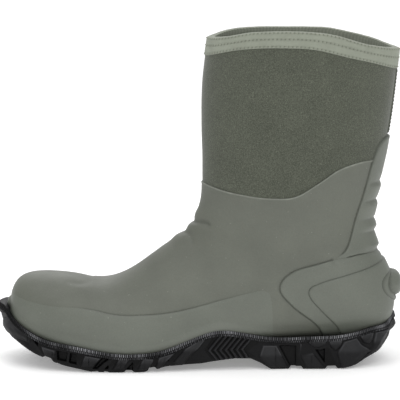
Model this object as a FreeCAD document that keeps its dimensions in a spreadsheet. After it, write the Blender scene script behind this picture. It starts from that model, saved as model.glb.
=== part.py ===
import FreeCAD, Part
import Sketcher
import math
import os

# Insulated mid-height rubber hunting boot, right foot, toe towards -X, millimetres, +Z up.
# The wearer's inner (medial) side is -Y.  The ground is Z = 0.
V = FreeCAD.Vector
doc = FreeCAD.newDocument("InsulatedBoot")

# ---------------------------------------------------------------- driving dimensions
sheet = doc.addObject("Spreadsheet::Sheet", "Dimensions")
CELLS = [
    ("frame_x", 0.15, "shift that puts the row origin under the middle of the boot, along X"),
    ("frame_y", 1.93, "the same along Y"),
    ("shell_wall", 2.2, "rubber wall of the moulded shell over the foot"),
    ("shell_lip", 0.8, "rubber wall at the top edge of the shell, over the neoprene"),
    ("cement_gap", 0.2, "cement layer between the bonded layers"),
    ("stiffener_wall", 1.2, "toe puff and heel counter"),
    ("bootie_wall", 5.5, "foam and fleece wall of the foot part"),
    ("shaft_wall", 5.0, "foam and fleece wall of the shaft"),
    ("board_thickness", 2.0, "insole board"),
    ("footbed_thickness", 4.5, "removable footbed"),
    ("overlay_height", 1.2, "rand, heel overlay and back panel, above the shell"),
    ("cup_height", 1.0, "heel cup panel, above the heel overlay"),
    ("rib_height", 1.3, "flex ribs, above their base"),
    ("cut_width", 170.0, "width of the trimming profiles"),
    ("binding_wall", 0.9, "binding tape"),
    ("thread_width", 0.8, "sewing thread"),
    ("thread_height", 0.45, "sewing thread, above the tape"),
    ("tape_half", 7.5, "half the width of the back seam tape"),
    ("shank_length", 98.0, "steel shank"),
    ("shank_width", 24.0, "steel shank"),
    ("shank_thickness", 1.2, "steel shank"),
    ("shank_tilt", 6.5, "slope of the shank, degrees"),
    ("shank_rib_width", 7.0, "stiffening rib pressed in the shank"),
    ("spur_width", 31.0, "heel spur plate"),
    ("spur_lug_width", 22.0, "lug on the heel spur plate"),
    ("groove_width", 6.5, "tread groove"),
    ("groove_depth", 3.6, "tread groove under the ball"),
    ("heel_groove_depth", 5.5, "tread groove under the heel"),
]
for i, (alias, value, note) in enumerate(CELLS):
    row = i + 1
    sheet.set("A%d" % row, note)
    sheet.set("B%d" % row, repr(float(value)))
    sheet.setAlias("B%d" % row, alias)
doc.recompute()


def cell(alias):
    return float(sheet.get(alias))


X0, Y0 = cell("frame_x"), cell("frame_y")
WALL, LIP, GAP = cell("shell_wall"), cell("shell_lip"), cell("cement_gap")
STIFF = cell("stiffener_wall")
OVER, CUP, RIB = cell("overlay_height"), cell("cup_height"), cell("rib_height")

# ---------------------------------------------------------------- the last: stations of the outer rubber surface
# Each station is a plane section that joins a point of the front line (toe top, instep, shin) to one of the back line
# (sole, heel, calf): x, z of both, half width on the inner and outer side, place of the widest point, and the
# exponents of the two super-ellipses that make the section.
STATIONS = [
    (-151.81, 51.34, -151.65, 40.83, 8.88, 8.36, 0.5, 2.0, 2.0),
    (-150.66, 57.13, -150.47, 35.78, 18.23, 16.19, 0.56, 2.1, 2.2),
    (-147.46, 63.26, -147.01, 31.24, 25.94, 22.89, 0.6, 2.2, 2.6),
    (-141.49, 67.92, -140.0, 27.0, 33.23, 29.2, 0.64, 2.3, 3.2),
    (-130.91, 70.4, -128.0, 22.6, 40.09, 36.1, 0.68, 2.3, 4.0),
    (-115.08, 70.1, -111.0, 17.4, 45.53, 42.55, 0.71, 2.3, 4.6),
    (-98.21, 68.22, -93.0, 13.0, 49.01, 47.53, 0.72, 2.2, 5.0),
    (-82.06, 65.8, -74.0, 10.4, 51.2, 51.71, 0.72, 2.1, 5.0),
    (-68.0, 67.5, -55.0, 9.7, 51.9, 54.4, 0.73, 2.0, 5.0),
    (-54.0, 74.0, -35.0, 11.2, 50.41, 55.4, 0.74, 2.0, 5.0),
    (-41.0, 83.0, -13.0, 15.0, 46.91, 53.91, 0.75, 2.0, 5.0),
    (-29.0, 92.0, 11.0, 19.0, 43.41, 50.41, 0.74, 2.0, 4.8),
    (-18.5, 100.2, 40.0, 21.6, 40.9, 46.41, 0.72, 2.0, 4.4),
    (-10.06, 106.79, 72.0, 22.5, 39.9, 42.91, 0.68, 2.0, 3.9),
    (-5.47, 113.21, 104.0, 23.53, 39.1, 40.6, 0.63, 2.0, 3.4),
    (-2.94, 118.79, 130.79, 25.65, 38.8, 39.3, 0.59, 2.0, 3.0),
    (-1.12, 124.34, 147.5, 32.61, 38.85, 39.05, 0.56, 2.0, 2.7),
    (0.09, 129.9, 153.43, 44.38, 39.1, 39.1, 0.54, 2.0, 2.5),
    (0.8, 135.95, 153.22, 57.73, 39.55, 39.55, 0.52, 2.0, 2.4),
    (0.9, 142.99, 150.43, 71.26, 40.0, 40.0, 0.51, 2.0, 2.3),
    (0.8, 151.0, 145.38, 82.71, 41.0, 41.0, 0.5, 2.0, 2.2),
    (0.8, 160.0, 140.55, 96.1, 42.0, 42.0, 0.5, 2.0, 2.1),
    (0.7, 170.0, 138.9, 111.98, 42.6, 42.6, 0.5, 2.0, 2.0),
    (0.4, 182.0, 140.02, 130.25, 43.5, 43.5, 0.5, 2.0, 2.0),
    (0.2, 196.0, 143.83, 150.35, 44.6, 44.6, 0.5, 2.0, 2.0),
    (0.4, 210.0, 148.51, 173.12, 45.6, 45.6, 0.5, 2.0, 2.0),
    (1.2, 225.0, 152.6, 199.0, 46.6, 46.6, 0.5, 2.0, 2.0),
    (2.8, 241.0, 155.7, 226.0, 47.4, 47.4, 0.5, 2.0, 2.0),
    (5.0, 256.0, 158.2, 250.0, 48.0, 48.0, 0.5, 2.0, 2.0),
    (7.2, 271.0, 160.4, 272.0, 48.4, 48.4, 0.5, 2.0, 2.0),
    (9.2, 284.0, 162.2, 290.0, 48.6, 48.6, 0.5, 2.0, 2.0),
]


def natural_spline(xs, ys):
    n = len(xs)
    h = [xs[i + 1] - xs[i] for i in range(n - 1)]
    a, b, c, d = [0.0] * n, [1.0] * n, [0.0] * n, [0.0] * n
    for i in range(1, n - 1):
        a[i], b[i], c[i] = h[i - 1], 2 * (h[i - 1] + h[i]), h[i]
        d[i] = 6 * ((ys[i + 1] - ys[i]) / h[i] - (ys[i] - ys[i - 1]) / h[i - 1])
    for i in range(1, n):
        k = a[i] / b[i - 1]
        b[i] -= k * c[i - 1]
        d[i] -= k * d[i - 1]
    m = [0.0] * n
    m[-1] = d[-1] / b[-1]
    for i in range(n - 2, -1, -1):
        m[i] = (d[i] - c[i] * m[i + 1]) / b[i]

    def value(x):
        lo, hi = 0, n - 2
        while lo < hi:
            mid = (lo + hi + 1) // 2
            if xs[mid] <= x:
                lo = mid
            else:
                hi = mid - 1
        i, t = lo, x - xs[lo]
        p = (m[i + 1] - m[i]) / (6 * h[i])
        q = m[i] / 2
        r = (ys[i + 1] - ys[i]) / h[i] - h[i] * (2 * m[i] + m[i + 1]) / 6
        return ys[i] + t * (r + t * (q + t * p)), r + t * (2 * q + 3 * p * t)

    return value


ALONG = [0.0]
for s0, s1 in zip(STATIONS, STATIONS[1:]):
    dt = math.hypot(s1[0] - s0[0], s1[1] - s0[1])
    db = math.hypot(s1[2] - s0[2], s1[3] - s0[3])
    ALONG.append(ALONG[-1] + math.sqrt(0.5 * (dt * dt + db * db)) + 0.35 * abs(s1[4] - s0[4]))
CURVES = [natural_spline(ALONG, [s[i] for s in STATIONS]) for i in range(9)]
NS = len(STATIONS)


def unit(x, z):
    n = math.hypot(x, z) or 1.0
    return x / n, z / n


def section(s, dt, dw, db):
    """The section at s along the last, set in by dt at the front line, dw at the sides and db at the back line."""
    p = [f(s) for f in CURVES]
    v, g = [q[0] for q in p], [q[1] for q in p]
    tx, tz = unit(g[0], g[1])
    bx, bz = unit(g[2], g[3])
    run = math.hypot(0.5 * (g[0] + g[2]), 0.5 * (g[1] + g[3])) or 1e-6
    rm, rl = (1 / math.sqrt(1 + (g[i] / run) ** 2) for i in (4, 5))
    return (v[0] + tz * dt, v[1] - tx * dt, v[2] - bz * db, v[3] + bx * db,
            max(1.0, v[4] - dw * rm), max(1.0, v[5] - dw * rl), v[6], v[7], v[8])


def loop(sec, n=6):
    """Points round one section, in the row frame."""
    tx, tz, bx, bz, wm, wl, m, p1, p2 = sec
    pts, q = [], math.pi / 2 / n

    def at(u, v):
        pts.append(V(tx + u * (bx - tx) - X0, v - Y0, tz + u * (bz - tz)))

    for i in range(n):
        at(m - m * math.cos(i * q) ** (2 / p1), -wm * math.sin(i * q) ** (2 / p1))
    for i in range(n):
        at(m + (1 - m) * math.sin(i * q) ** (2 / p2), -wm * math.cos(i * q) ** (2 / p2))
    for i in range(n, 0, -1):
        at(m + (1 - m) * math.sin(i * q) ** (2 / p2), wl * max(0.0, math.cos(i * q)) ** (2 / p2))
    for i in range(n, 0, -1):
        at(m - m * max(0.0, math.cos(i * q)) ** (2 / p1), wl * math.sin(i * q) ** (2 / p1))
    return pts


def insets(front, side, back):
    """Per-station insets from short tables of (station, inset), linear between."""
    def spread(table):
        if not isinstance(table, (list, tuple)):
            return [float(table)] * NS
        out = []
        for k in range(NS):
            if k <= table[0][0]:
                out.append(table[0][1])
            elif k >= table[-1][0]:
                out.append(table[-1][1])
            else:
                for (a, x), (b, y) in zip(table, table[1:]):
                    if a <= k <= b:
                        out.append(x + (y - x) * (k - a) / float(b - a))
                        break
        return out
    return spread(front), spread(side), spread(back)


def last_solid(label, ins):
    """A closed solid through every station, set in as told."""
    wires = []
    for k in range(NS):
        pts = loop(section(ALONG[k], ins[0][k], ins[1][k], ins[2][k]))
        pts.append(pts[0])
        curve = Part.BSplineCurve()
        curve.interpolate(Points=pts, Parameters=[float(i) for i in range(len(pts))])
        wires.append(Part.Wire([curve.toShape()]))
    solid = Part.makeLoft(wires, True, False)
    feature = doc.addObject("Part::Feature", label)
    feature.Shape = solid
    return feature


def dense(ins, n=500):
    """Sections close together, for looking up half widths."""
    def at(table, s):
        k = 0
        while k < NS - 2 and ALONG[k + 1] < s:
            k += 1
        t = (s - ALONG[k]) / (ALONG[k + 1] - ALONG[k])
        return table[k] + t * (table[k + 1] - table[k])
    out = []
    for i in range(n):
        s = ALONG[-1] * i / (n - 1.0)
        out.append(section(s, at(ins[0], s), at(ins[1], s), at(ins[2], s)))
    return out


def half_width(frames, x, z, side):
    last = None
    for f in frames:
        tx, tz, bx, bz = f[:4]
        c = (bx - tx) * (z - tz) - (bz - tz) * (x - tx)
        u = ((x - tx) * (bx - tx) + (z - tz) * (bz - tz)) / ((bx - tx) ** 2 + (bz - tz) ** 2)
        if last is not None and last * c <= 0 and -0.02 <= u <= 1.02:
            w, m = (f[4] if side < 0 else f[5]), f[6]
            u = min(1.0, max(0.0, u))
            if u <= m:
                return w * max(0.0, 1 - ((m - u) / m) ** f[7]) ** (1 / f[7])
            return w * max(0.0, 1 - ((u - m) / (1 - m)) ** f[8]) ** (1 / f[8])
        last = c
    return 0.0


# ---------------------------------------------------------------- helpers for the document's features
def sketch(label, parts, plane="side"):
    """A closed sketch from pieces: ("line", points) or ("curve", points).  Side sketches are x, z; plan sketches x, y."""
    sk = doc.addObject("Sketcher::SketchObject", label)
    if plane == "side":
        sk.Placement = FreeCAD.Placement(V(-X0, 0, 0), FreeCAD.Rotation(V(1, 0, 0), 90))
    else:
        sk.Placement = FreeCAD.Placement(V(-X0, -Y0, 0), FreeCAD.Rotation())
    for kind, pts in parts:
        pts = [V(p[0], p[1], 0) for p in pts]
        if kind == "line":
            for a, b in zip(pts, pts[1:]):
                sk.addGeometry(Part.LineSegment(a, b), False)
        else:
            c = Part.BSplineCurve()
            c.interpolate(pts)
            sk.addGeometry(c, False)
    return sk


def extrude(label, sk, length="cut_width", symmetric=True):
    ex = doc.addObject("Part::Extrusion", label)
    ex.Base = sk
    ex.DirMode = "Normal"
    ex.Solid = True
    ex.Symmetric = symmetric
    ex.setExpression("LengthFwd", "Dimensions." + length)
    return ex


def prism(label, parts):
    return extrude(label + "_prism", sketch(label + "_sketch", parts))


def op(kind, label, a, b):
    o = doc.addObject("Part::" + kind, label)
    o.Base, o.Tool = a, b
    return o


def cut(label, a, b):
    return op("Cut", label, a, b)


def common(label, a, b):
    return op("Common", label, a, b)


def fuse(label, shapes):
    o = doc.addObject("Part::MultiFuse", label)
    o.Shapes = shapes
    return o


NODES = []


def node(obj, name):
    obj.Label = name
    NODES.append(obj)
    return obj


# ---------------------------------------------------------------- the layers
SHELL_IN = insets([(0, WALL), (19, WALL), (24, LIP)], [(0, WALL), (19, WALL), (24, LIP)], [(0, WALL), (19, WALL), (24, LIP)])
DEEP = WALL + STIFF + 2 * GAP + 0.1
FOAM = LIP + GAP
BOOT_OUT = insets(
    [(0, DEEP), (5, DEEP), (7, WALL + GAP), (19, WALL + GAP), (24, FOAM)],
    [(0, DEEP), (5, DEEP), (7, WALL + GAP), (13, WALL + GAP), (15, DEEP), (19, DEEP), (24, FOAM)],
    [(0, DEEP), (1, 4.4), (2, 5.0), (14, 5.0), (17, DEEP), (19, DEEP), (24, FOAM)],
)
BW, SW = cell("bootie_wall"), cell("shaft_wall")


def deeper(ins, foot, shaft, bottom):
    out = [list(x) for x in ins]
    for k in range(NS):
        t = min(1.0, max(0.0, (k - 19) / 5.0))
        add = foot + (shaft - foot) * t
        out[0][k] += add
        out[1][k] += add
        out[2][k] += bottom if k <= 15 else add
    return out


BOOT_IN = deeper(BOOT_OUT, BW, SW, 5.0)

L_OUT = last_solid("Last_outer", insets(0, 0, 0))
L_SHELL = last_solid("Last_shell_inner", SHELL_IN)
# the foam stands off the shell round the foot, closing to the glue line above the ankle
SLACK = [0.75 * min(1.0, max(0.0, (24 - k) / 5.0)) for k in range(NS)]
L_BOOT = last_solid("Last_bootie_outer", [[x + SLACK[k] for k, x in enumerate(row)] for row in BOOT_OUT])
L_CAVITY = last_solid("Last_bootie_inner", BOOT_IN)
L_LAP0 = last_solid("Last_overlay_inner", insets(-0.15, -0.15, -0.15))
L_LAP1 = last_solid("Last_overlay_outer", insets(-0.15 - OVER, -0.15 - OVER, -0.15 - OVER))
L_CUP0 = last_solid("Last_cup_inner", insets(-0.3 - OVER, -0.3 - OVER, -0.3 - OVER))
L_CUP1 = last_solid("Last_cup_outer", insets(-0.3 - OVER - CUP, -0.3 - OVER - CUP, -0.3 - OVER - CUP))
L_RIB = last_solid("Last_rib_outer", insets(-0.15 - OVER - RIB, -0.15 - OVER - RIB, -0.15 - OVER - RIB))

# ---------------------------------------------------------------- lines drawn on the side of the boot: x, z
LOW_FLEX = [(-70.0, 95.5), (-20.0, 95.5), (60.0, 89.5), (140.0, 82.0), (190.0, 79.0)]
HIGH_FLEX = [(-70.0, 134.0), (-2.0, 127.0), (60.0, 118.0), (141.0, 105.0), (190.0, 97.0)]
SHELL_TOP = [(-60.0, 144.8), (0.0, 144.5), (9.0, 142.1), (19.5, 139.6), (34.2, 137.5), (47.7, 136.0), (60.2, 135.8),
             (69.5, 136.2), (77.9, 138.6), (88.4, 144.8), (97.8, 150.9), (107.2, 157.1), (116.9, 160.8), (127.7, 163.3),
             (136.6, 163.9), (190.0, 164.5)]
TOP_LINE = [(-60.0, 250.0), (-10.0, 255.5), (5.5, 258.8), (12.0, 260.0), (18.0, 261.2), (31.5, 263.5), (48.0, 264.9), (69.0, 265.1),
            (85.0, 264.8), (104.0, 263.2), (121.0, 259.3), (137.0, 255.8), (149.5, 252.4), (158.5, 250.8), (190.0, 246.0)]
BAND_LOW = [(-60.0, 232.0), (-10.0, 241.5), (3.6, 244.6), (19.5, 249.1), (31.0, 251.5), (47.9, 253.3), (69.4, 253.7),
            (84.8, 253.0), (96.4, 251.0), (108.2, 247.9), (120.0, 244.9), (132.1, 241.9), (150.7, 236.2), (190.0, 226.0)]
RIM = [(-175.0, 48.0), (-160.0, 47.0), (-155.0, 45.3), (-152.0, 39.5), (-147.0, 35.2), (-141.0, 31.7), (-126.0, 25.6),
       (-102.0, 21.2), (-80.0, 17.2), (-62.0, 14.8), (-49.0, 14.8), (-30.0, 17.0), (-16.0, 21.9), (-2.8, 27.0), (11.0, 31.2),
       (22.0, 31.6), (38.7, 28.8), (57.7, 26.0), (77.4, 26.1), (96.3, 26.7), (110.6, 27.4), (127.5, 30.3), (139.0, 32.5),
       (151.4, 34.6), (157.0, 38.0), (175.0, 42.0)]


def raised(line, dz):
    return [(x, z + dz) for x, z in line]


def between(low, high):
    """A closed side profile between two lines that share their end x."""
    return [("curve", low), ("line", [low[-1], high[-1]]), ("curve", high[::-1]), ("line", [high[0], low[0]])]


def strip(line, height):
    return between(line, raised(line, height))


# ---------------------------------------------------------------- rubber shell, opened at the ankle flex zone
FLOOR = [(-200.0, -30.0), (190.0, -30.0)]
shell_wall = cut("Shell_wall", L_OUT, L_SHELL)
below_flex = prism("Below_flex", [("curve", LOW_FLEX), ("line", [LOW_FLEX[-1], (190.0, -30.0), (-200.0, -30.0), (-200.0, 95.5), LOW_FLEX[0]])])
node(common("Foot_shell", shell_wall, below_flex), "foot_shell")
flex_band = prism("Flex_band", between(raised(LOW_FLEX, 0.25), raised(HIGH_FLEX, -0.25)))
node(common("Ankle_bellows", shell_wall, flex_band), "ankle_bellows")
shaft_band = prism("Shaft_band", between(HIGH_FLEX, [(-70.0, 145.0)] + SHELL_TOP[1:]))
node(common("Shaft_shell", shell_wall, shaft_band), "shaft_shell")

# ---------------------------------------------------------------- insulated bootie: foot, ankle ring, shaft sleeve
bootie = cut("Bootie_wall", L_BOOT, L_CAVITY)
node(common("Bootie_foot", bootie, below_flex), "bootie_foot")
node(common("Bootie_ankle", bootie, flex_band), "bootie_ankle")
sleeve_band = prism("Sleeve_band", between(HIGH_FLEX, [(-70.0, 248.0)] + TOP_LINE[1:]))
node(common("Neoprene_shaft", bootie, sleeve_band), "neoprene_shaft")

# ---------------------------------------------------------------- top binding: tape folded over the edge, three rows of thread
BIND = cell("binding_wall")
L_BIND = last_solid("Last_binding_outer", insets(0.0, 0.0, 0.0))
BIND_IN = [[x - 0.08 for x in row] for row in BOOT_OUT]
L_BIND_IN = last_solid("Last_binding_back", BIND_IN)
L_FACE0 = last_solid("Last_facing_outer", [[x + 0.08 for x in row] for row in BOOT_IN])
L_FACE1 = last_solid("Last_facing_inner", [[x + 0.08 + BIND for x in row] for row in BOOT_IN])
tape_block = common("Tape_block", cut("Tape_wall", L_BIND, L_FACE1), prism("Tape_band", between(BAND_LOW, raised(TOP_LINE, 0.12 + BIND))))
tape_room = common("Tape_room", cut("Room_wall", L_BIND_IN, L_FACE0), prism("Room_band", between(raised(BAND_LOW, -6.0), raised(TOP_LINE, 0.12))))
node(cut("Top_binding", tape_block, tape_room), "top_binding")

THREAD = cell("thread_width")
TH = cell("thread_height")


def line_z(line, x):
    for (a, za), (b, zb) in zip(line, line[1:]):
        if a <= x <= b:
            return za + (zb - za) * (x - a) / (b - a)
    return line[-1][1]


def ring(line, out):
    """A closed curve round the shaft on the surface set out by that much, seen from the side along the line."""
    pts = []
    for k in range(24):
        lo_s, hi_s = ALONG[22], ALONG[-1]
        for _ in range(34):
            mid_s = 0.5 * (lo_s + hi_s)
            p = loop(section(mid_s, -out, -out, -out))[k]
            if p.z < line_z(line, p.x + X0):
                lo_s = mid_s
            else:
                hi_s = mid_s
        pts.append(loop(section(0.5 * (lo_s + hi_s), -out, -out, -out))[k])
    pts.append(pts[0])
    curve = Part.BSplineCurve()
    curve.interpolate(Points=pts, Parameters=[float(i) for i in range(len(pts))])
    return curve.toShape()


for label, line in (("binding_stitch_middle", raised(TOP_LINE, -6.4)), ("binding_stitch_lower", raised(BAND_LOW, 1.7)),
                    ("binding_stitch_upper", raised(TOP_LINE, -1.6))):
    rings = [ring(line, 0.08), ring(line, 0.08 + TH), ring(raised(line, THREAD), 0.08 + TH), ring(raised(line, THREAD), 0.08)]
    faces = [Part.makeRuledSurface(rings[k], rings[(k + 1) % 4]) for k in range(4)]
    thread = Part.Solid(Part.makeShell([f for face in faces for f in face.Faces]))
    if thread.Volume < 0:
        thread.reverse()
    feature = doc.addObject("Part::Feature", label.title().replace("_", ""))
    feature.Shape = thread
    feature.Placement = FreeCAD.Placement()
    node(feature, label)

# ---------------------------------------------------------------- back seam tape on the sleeve
back_box = doc.addObject("Part::Box", "Back_box")
back_box.Length, back_box.Height = 70, 400
back_box.setExpression("Width", "2 * Dimensions.tape_half")
back_box.setExpression("Placement.Base.x", "118 - Dimensions.frame_x")
back_box.setExpression("Placement.Base.y", "-Dimensions.tape_half - Dimensions.frame_y")
L_TAPE1 = last_solid("Last_tape_outer", insets(0.1, 0.1, 0.1))
seam_wall = cut("Seam_wall", L_TAPE1, L_BIND_IN)
seam_band = prism("Seam_band", between([(-60.0, 183.0), (190.0, 183.0)], raised(BAND_LOW, -0.3)[:1] + raised(BAND_LOW, -0.3)[1:]))
node(common("Seam_tape", common("Seam_trim", seam_wall, seam_band), back_box), "back_seam_tape")

# ---------------------------------------------------------------- back panel with its flex ribs
PANEL_FRONT = [(134.6, 157.2), (131.5, 144.5), (128.4, 133.8), (123.8, 120.7), (120.4, 107.9), (117.0, 97.3), (115.2, 88.6)]
panel_band = prism("Panel_band", [
    ("line", [(190.0, 90.2), (136.0, 90.0), (124.0, 89.6), (115.2, 88.6)]),
    ("curve", PANEL_FRONT[::-1]),
    ("curve", [(134.6, 157.2), (136.8, 163.9), (138.4, 168.2), (141.2, 174.6), (145.5, 179.6), (149.0, 181.4), (160.0, 182.0)]),
    ("line", [(160.0, 182.0), (190.0, 182.0), (190.0, 90.2)]),
])
lap_wall = cut("Lap_wall", L_LAP1, L_LAP0)
comb = [(100.0, 190.0), (100.0, 80.0), (200.0, 80.0)]
for low, high, x in ((92.0, 104.8, 127.5), (107.0, 115.0, 127.5), (117.2, 129.4, 128.5), (131.8, 143.8, 131.5)):
    comb += [(200.0, low - 6.0), (x, low + 1.5), (x, high + 1.5), (200.0, high - 6.0)]
comb += [(200.0, 190.0), (100.0, 190.0)]
rib_gaps = cut("Rib_gaps", prism("Rib_comb", [("line", comb)]), L_LAP1)
thick_panel = common("Thick_panel", cut("Rib_wall", L_RIB, L_LAP0), panel_band)
node(cut("Back_panel", thick_panel, rib_gaps), "back_flex_panel")

# ---------------------------------------------------------------- heel overlay and heel cup
RIM_UP = raised(RIM, 0.6)
V_OUT = [(115.2, 87.9), (113.6, 87.4), (105.8, 85.8), (94.8, 83.6), (83.7, 80.8), (75.0, 77.8), (67.3, 72.6), (63.5, 66.8),
         (63.5, 61.5), (68.5, 54.4), (77.4, 46.0), (87.4, 38.4), (94.3, 31.5), (101.0, 20.0)]
V_IN = [(190.0, 86.0), (150.0, 83.5), (141.2, 81.2), (131.8, 78.8), (121.5, 76.2), (110.4, 73.3), (99.3, 70.2), (90.4, 66.8), (86.6, 64.4),
        (85.3, 61.0), (86.6, 56.4), (91.8, 49.9), (99.6, 41.7), (107.7, 33.1), (116.0, 20.0)]
above_rim = prism("Above_rim", [("curve", RIM_UP), ("line", [RIM_UP[-1], (190.0, RIM_UP[-1][1]), (190.0, 320.0), (-190.0, 320.0), (-190.0, RIM_UP[0][1]), RIM_UP[0]])])
heel_band = prism("Heel_band", [("curve", V_OUT), ("line", [V_OUT[-1], (190.0, 20.0), (190.0, 89.6), (136.0, 89.4), (124.0, 89.0), V_OUT[0]])])
node(common("Heel_overlay", common("Heel_lap", lap_wall, heel_band), above_rim), "heel_overlay")
cup_band = prism("Cup_band", [("curve", V_IN), ("line", [V_IN[-1], (190.0, 20.0), V_IN[0]])])
cup_wall = cut("Cup_wall", L_CUP1, L_CUP0)
node(common("Heel_cup", common("Cup_lap", cup_wall, cup_band), above_rim), "heel_cup_panel")

# ---------------------------------------------------------------- toe cap and side rand
R_EDGE = [(-86.0, 80.0), (-88.5, 67.5), (-95.8, 67.2), (-102.6, 66.4), (-104.3, 64.6), (-102.0, 61.8), (-97.0, 58.0), (-89.7, 52.6),
          (-82.5, 48.2), (-74.4, 45.4), (-63.3, 43.8), (-52.3, 43.7), (-38.1, 44.3), (-24.8, 45.4), (-13.8, 47.2), (-0.2, 50.2),
          (11.0, 53.2), (22.0, 56.0), (33.1, 58.8), (44.1, 61.4), (50.0, 62.0), (54.0, 60.5), (56.0, 56.0), (57.0, 45.0), (58.0, 15.0)]
rand_band = prism("Rand_band", [("curve", R_EDGE), ("line", [R_EDGE[-1], (-190.0, 15.0), (-190.0, 80.0), R_EDGE[0]])])
node(common("Toe_rand", common("Rand_lap", lap_wall, rand_band), above_rim), "toe_rand")

# ---------------------------------------------------------------- stiffeners between shell and bootie
stiff_wall = cut("Stiff_wall", last_solid("Last_stiff_outer", insets(WALL + GAP, WALL + GAP, WALL + GAP)),
                 last_solid("Last_stiff_inner", insets(WALL + GAP + STIFF, WALL + GAP + STIFF, WALL + GAP + STIFF)))
node(common("Toe_puff", stiff_wall, prism("Puff_band", [("line", [(-180.0, 36.0), (-128.0, 32.0), (-112.0, 32.0), (-106.0, 60.0), (-108.0, 90.0), (-180.0, 90.0), (-180.0, 36.0)])])), "toe_puff")
node(common("Counter", stiff_wall, prism("Counter_band", [("line", [(180.0, 33.0), (120.0, 33.0), (98.0, 33.0), (106.0, 58.0), (128.0, 72.0), (180.0, 76.0), (180.0, 33.0)])])), "heel_counter")

# ---------------------------------------------------------------- parts that follow the sole line
D_SHELL, D_CAVITY, D_OUT = dense(SHELL_IN), dense(BOOT_IN), dense(insets(0, 0, 0))
SOLE = [(s[2], s[3]) for s in STATIONS[1:18]]


def floor_z(x, up=0.0):
    """Height of the shell's underside on the centre line."""
    best = None
    for (a, za), (b, zb) in zip(SOLE, SOLE[1:]):
        if a <= x <= b:
            best = za + (zb - za) * (x - a) / (b - a)
            break
    if best is None:
        best = SOLE[0][1] if x < SOLE[0][0] else SOLE[-1][1]
    return best + up


def sole_line(x0, x1, up, n=26):
    return [(x0 + (x1 - x0) * i / (n - 1.0), floor_z(x0 + (x1 - x0) * i / (n - 1.0), up)) for i in range(n)]


def smooth(line):
    """Three-point averages that keep the ends, so that a spline through the line has no kinks."""
    for _ in range(3):
        line = [line[0]] + [(b[0], (a[1] + 2 * b[1] + c[1]) / 4) for a, b, c in zip(line, line[1:], line[2:])] + [line[-1]]
    return line


def plan(frames, x0, x1, height, clear, n=22):
    """A closed plan outline inside a layer, at a height above the sole line, clear of its walls."""
    inner, outer = [], []
    for i in range(n):
        t = 0.5 - 0.5 * math.cos(math.pi * i / (n - 1.0))
        x = x0 + (x1 - x0) * t
        z = floor_z(min(max(x, x0 + 6), x1 - 6), height)
        end = min(1.0, math.sqrt(max(0.0, min(x - x0, x1 - x)) / 9.0))
        inner.append((x, -max(0.0, half_width(frames, x, z, -1) - clear) * end))
        outer.append((x, max(0.0, half_width(frames, x, z, 1) - clear) * end))
    return [("curve", inner + outer[::-1][1:-1] + [inner[0]])]


def sole_piece(label, frames, x0, x1, up, thick, clear):
    line = smooth(sole_line(x0 - 4, x1 + 4, up))
    side = prism(label + "_side", between(line, raised(line, thick)))
    top = sketch(label + "_plan", plan(frames, x0, x1, up + thick / 2, clear), "plan")
    up_ex = doc.addObject("Part::Extrusion", label + "_up")
    up_ex.Base, up_ex.DirMode, up_ex.Solid = top, "Normal", True
    up_ex.LengthFwd = 120
    return common(label, side, up_ex)


board_block = sole_piece("Board", D_SHELL, -134.0, 140.0, WALL - 1.5, 8.0, 3.2)
L_BOARD1 = last_solid("Last_board_under", [[x + 0.5 for x in row] for row in SHELL_IN])
L_BOARD0 = last_solid("Last_board_top", [[x + 0.5 + cell("board_thickness") for x in row] for row in SHELL_IN])
node(common("Insole_board", cut("Board_layer", L_BOARD1, L_BOARD0), board_block), "insole_board")
bed_block = sole_piece("Footbed_block", D_CAVITY, -134.5, 139.5, 10.45, cell("footbed_thickness"), 2.0)
L_BED = last_solid("Last_footbed_under", [[x + 0.5 for x in row] for row in BOOT_IN])
node(common("Footbed", bed_block, L_BED), "footbed")

# ---------------------------------------------------------------- midsole wedge and steel shank
mid_low = [(-118.0, 16.2), (-96.0, 10.9), (-76.0, 7.6), (-56.0, 6.6), (-36.0, 8.0), (-14.0, 11.2), (10.0, 14.0), (36.0, 14.6), (60.0, 13.2), (90.0, 13.0), (132.0, 14.5)]
mid_high = smooth([(x, floor_z(x, -0.45)) for x in [-118.0, -106.0, -96.0, -86.0, -76.0, -66.0, -56.0, -46.0, -36.0, -26.0, -14.0, -2.0, 10.0, 23.0, 36.0, 48.0, 60.0, 75.0, 90.0, 110.0, 132.0]])
mid_high[0] = (-118.0, floor_z(-118.0, -0.45))
MID_OUT = []
for x, a, b in [(-116, 0, 0), (-113, 16, 14), (-104, 29, 27), (-88, 37, 37), (-64, 41, 44), (-40, 40, 46), (-16, 35, 43), (10, 31, 38), (36, 29.5, 34), (62, 29, 32), (88, 28, 29), (108, 25, 25.5), (122, 17, 17), (128, 0, 0)]:
    MID_OUT.append((float(x), float(a), float(b)))
mid_plan = [("curve", [(x, -a) for x, a, b in MID_OUT] + [(x, b) for x, a, b in MID_OUT[::-1][1:-1]] + [(MID_OUT[0][0], 0.0)])]
mid_side = prism("Midsole_side", between(mid_low, mid_high))
mid_top = sketch("Midsole_plan", mid_plan, "plan")
mid_up = doc.addObject("Part::Extrusion", "Midsole_up")
mid_up.Base, mid_up.DirMode, mid_up.Solid, mid_up.LengthFwd = mid_top, "Normal", True, 120
mid_block = cut("Midsole_block", common("Midsole_raw", mid_side, mid_up), L_LAP0)

body = doc.addObject("PartDesign::Body", "Shank")


def origin_plane(b, role):
    return next(f for f in b.Origin.OriginFeatures if f.Role == role)


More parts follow.
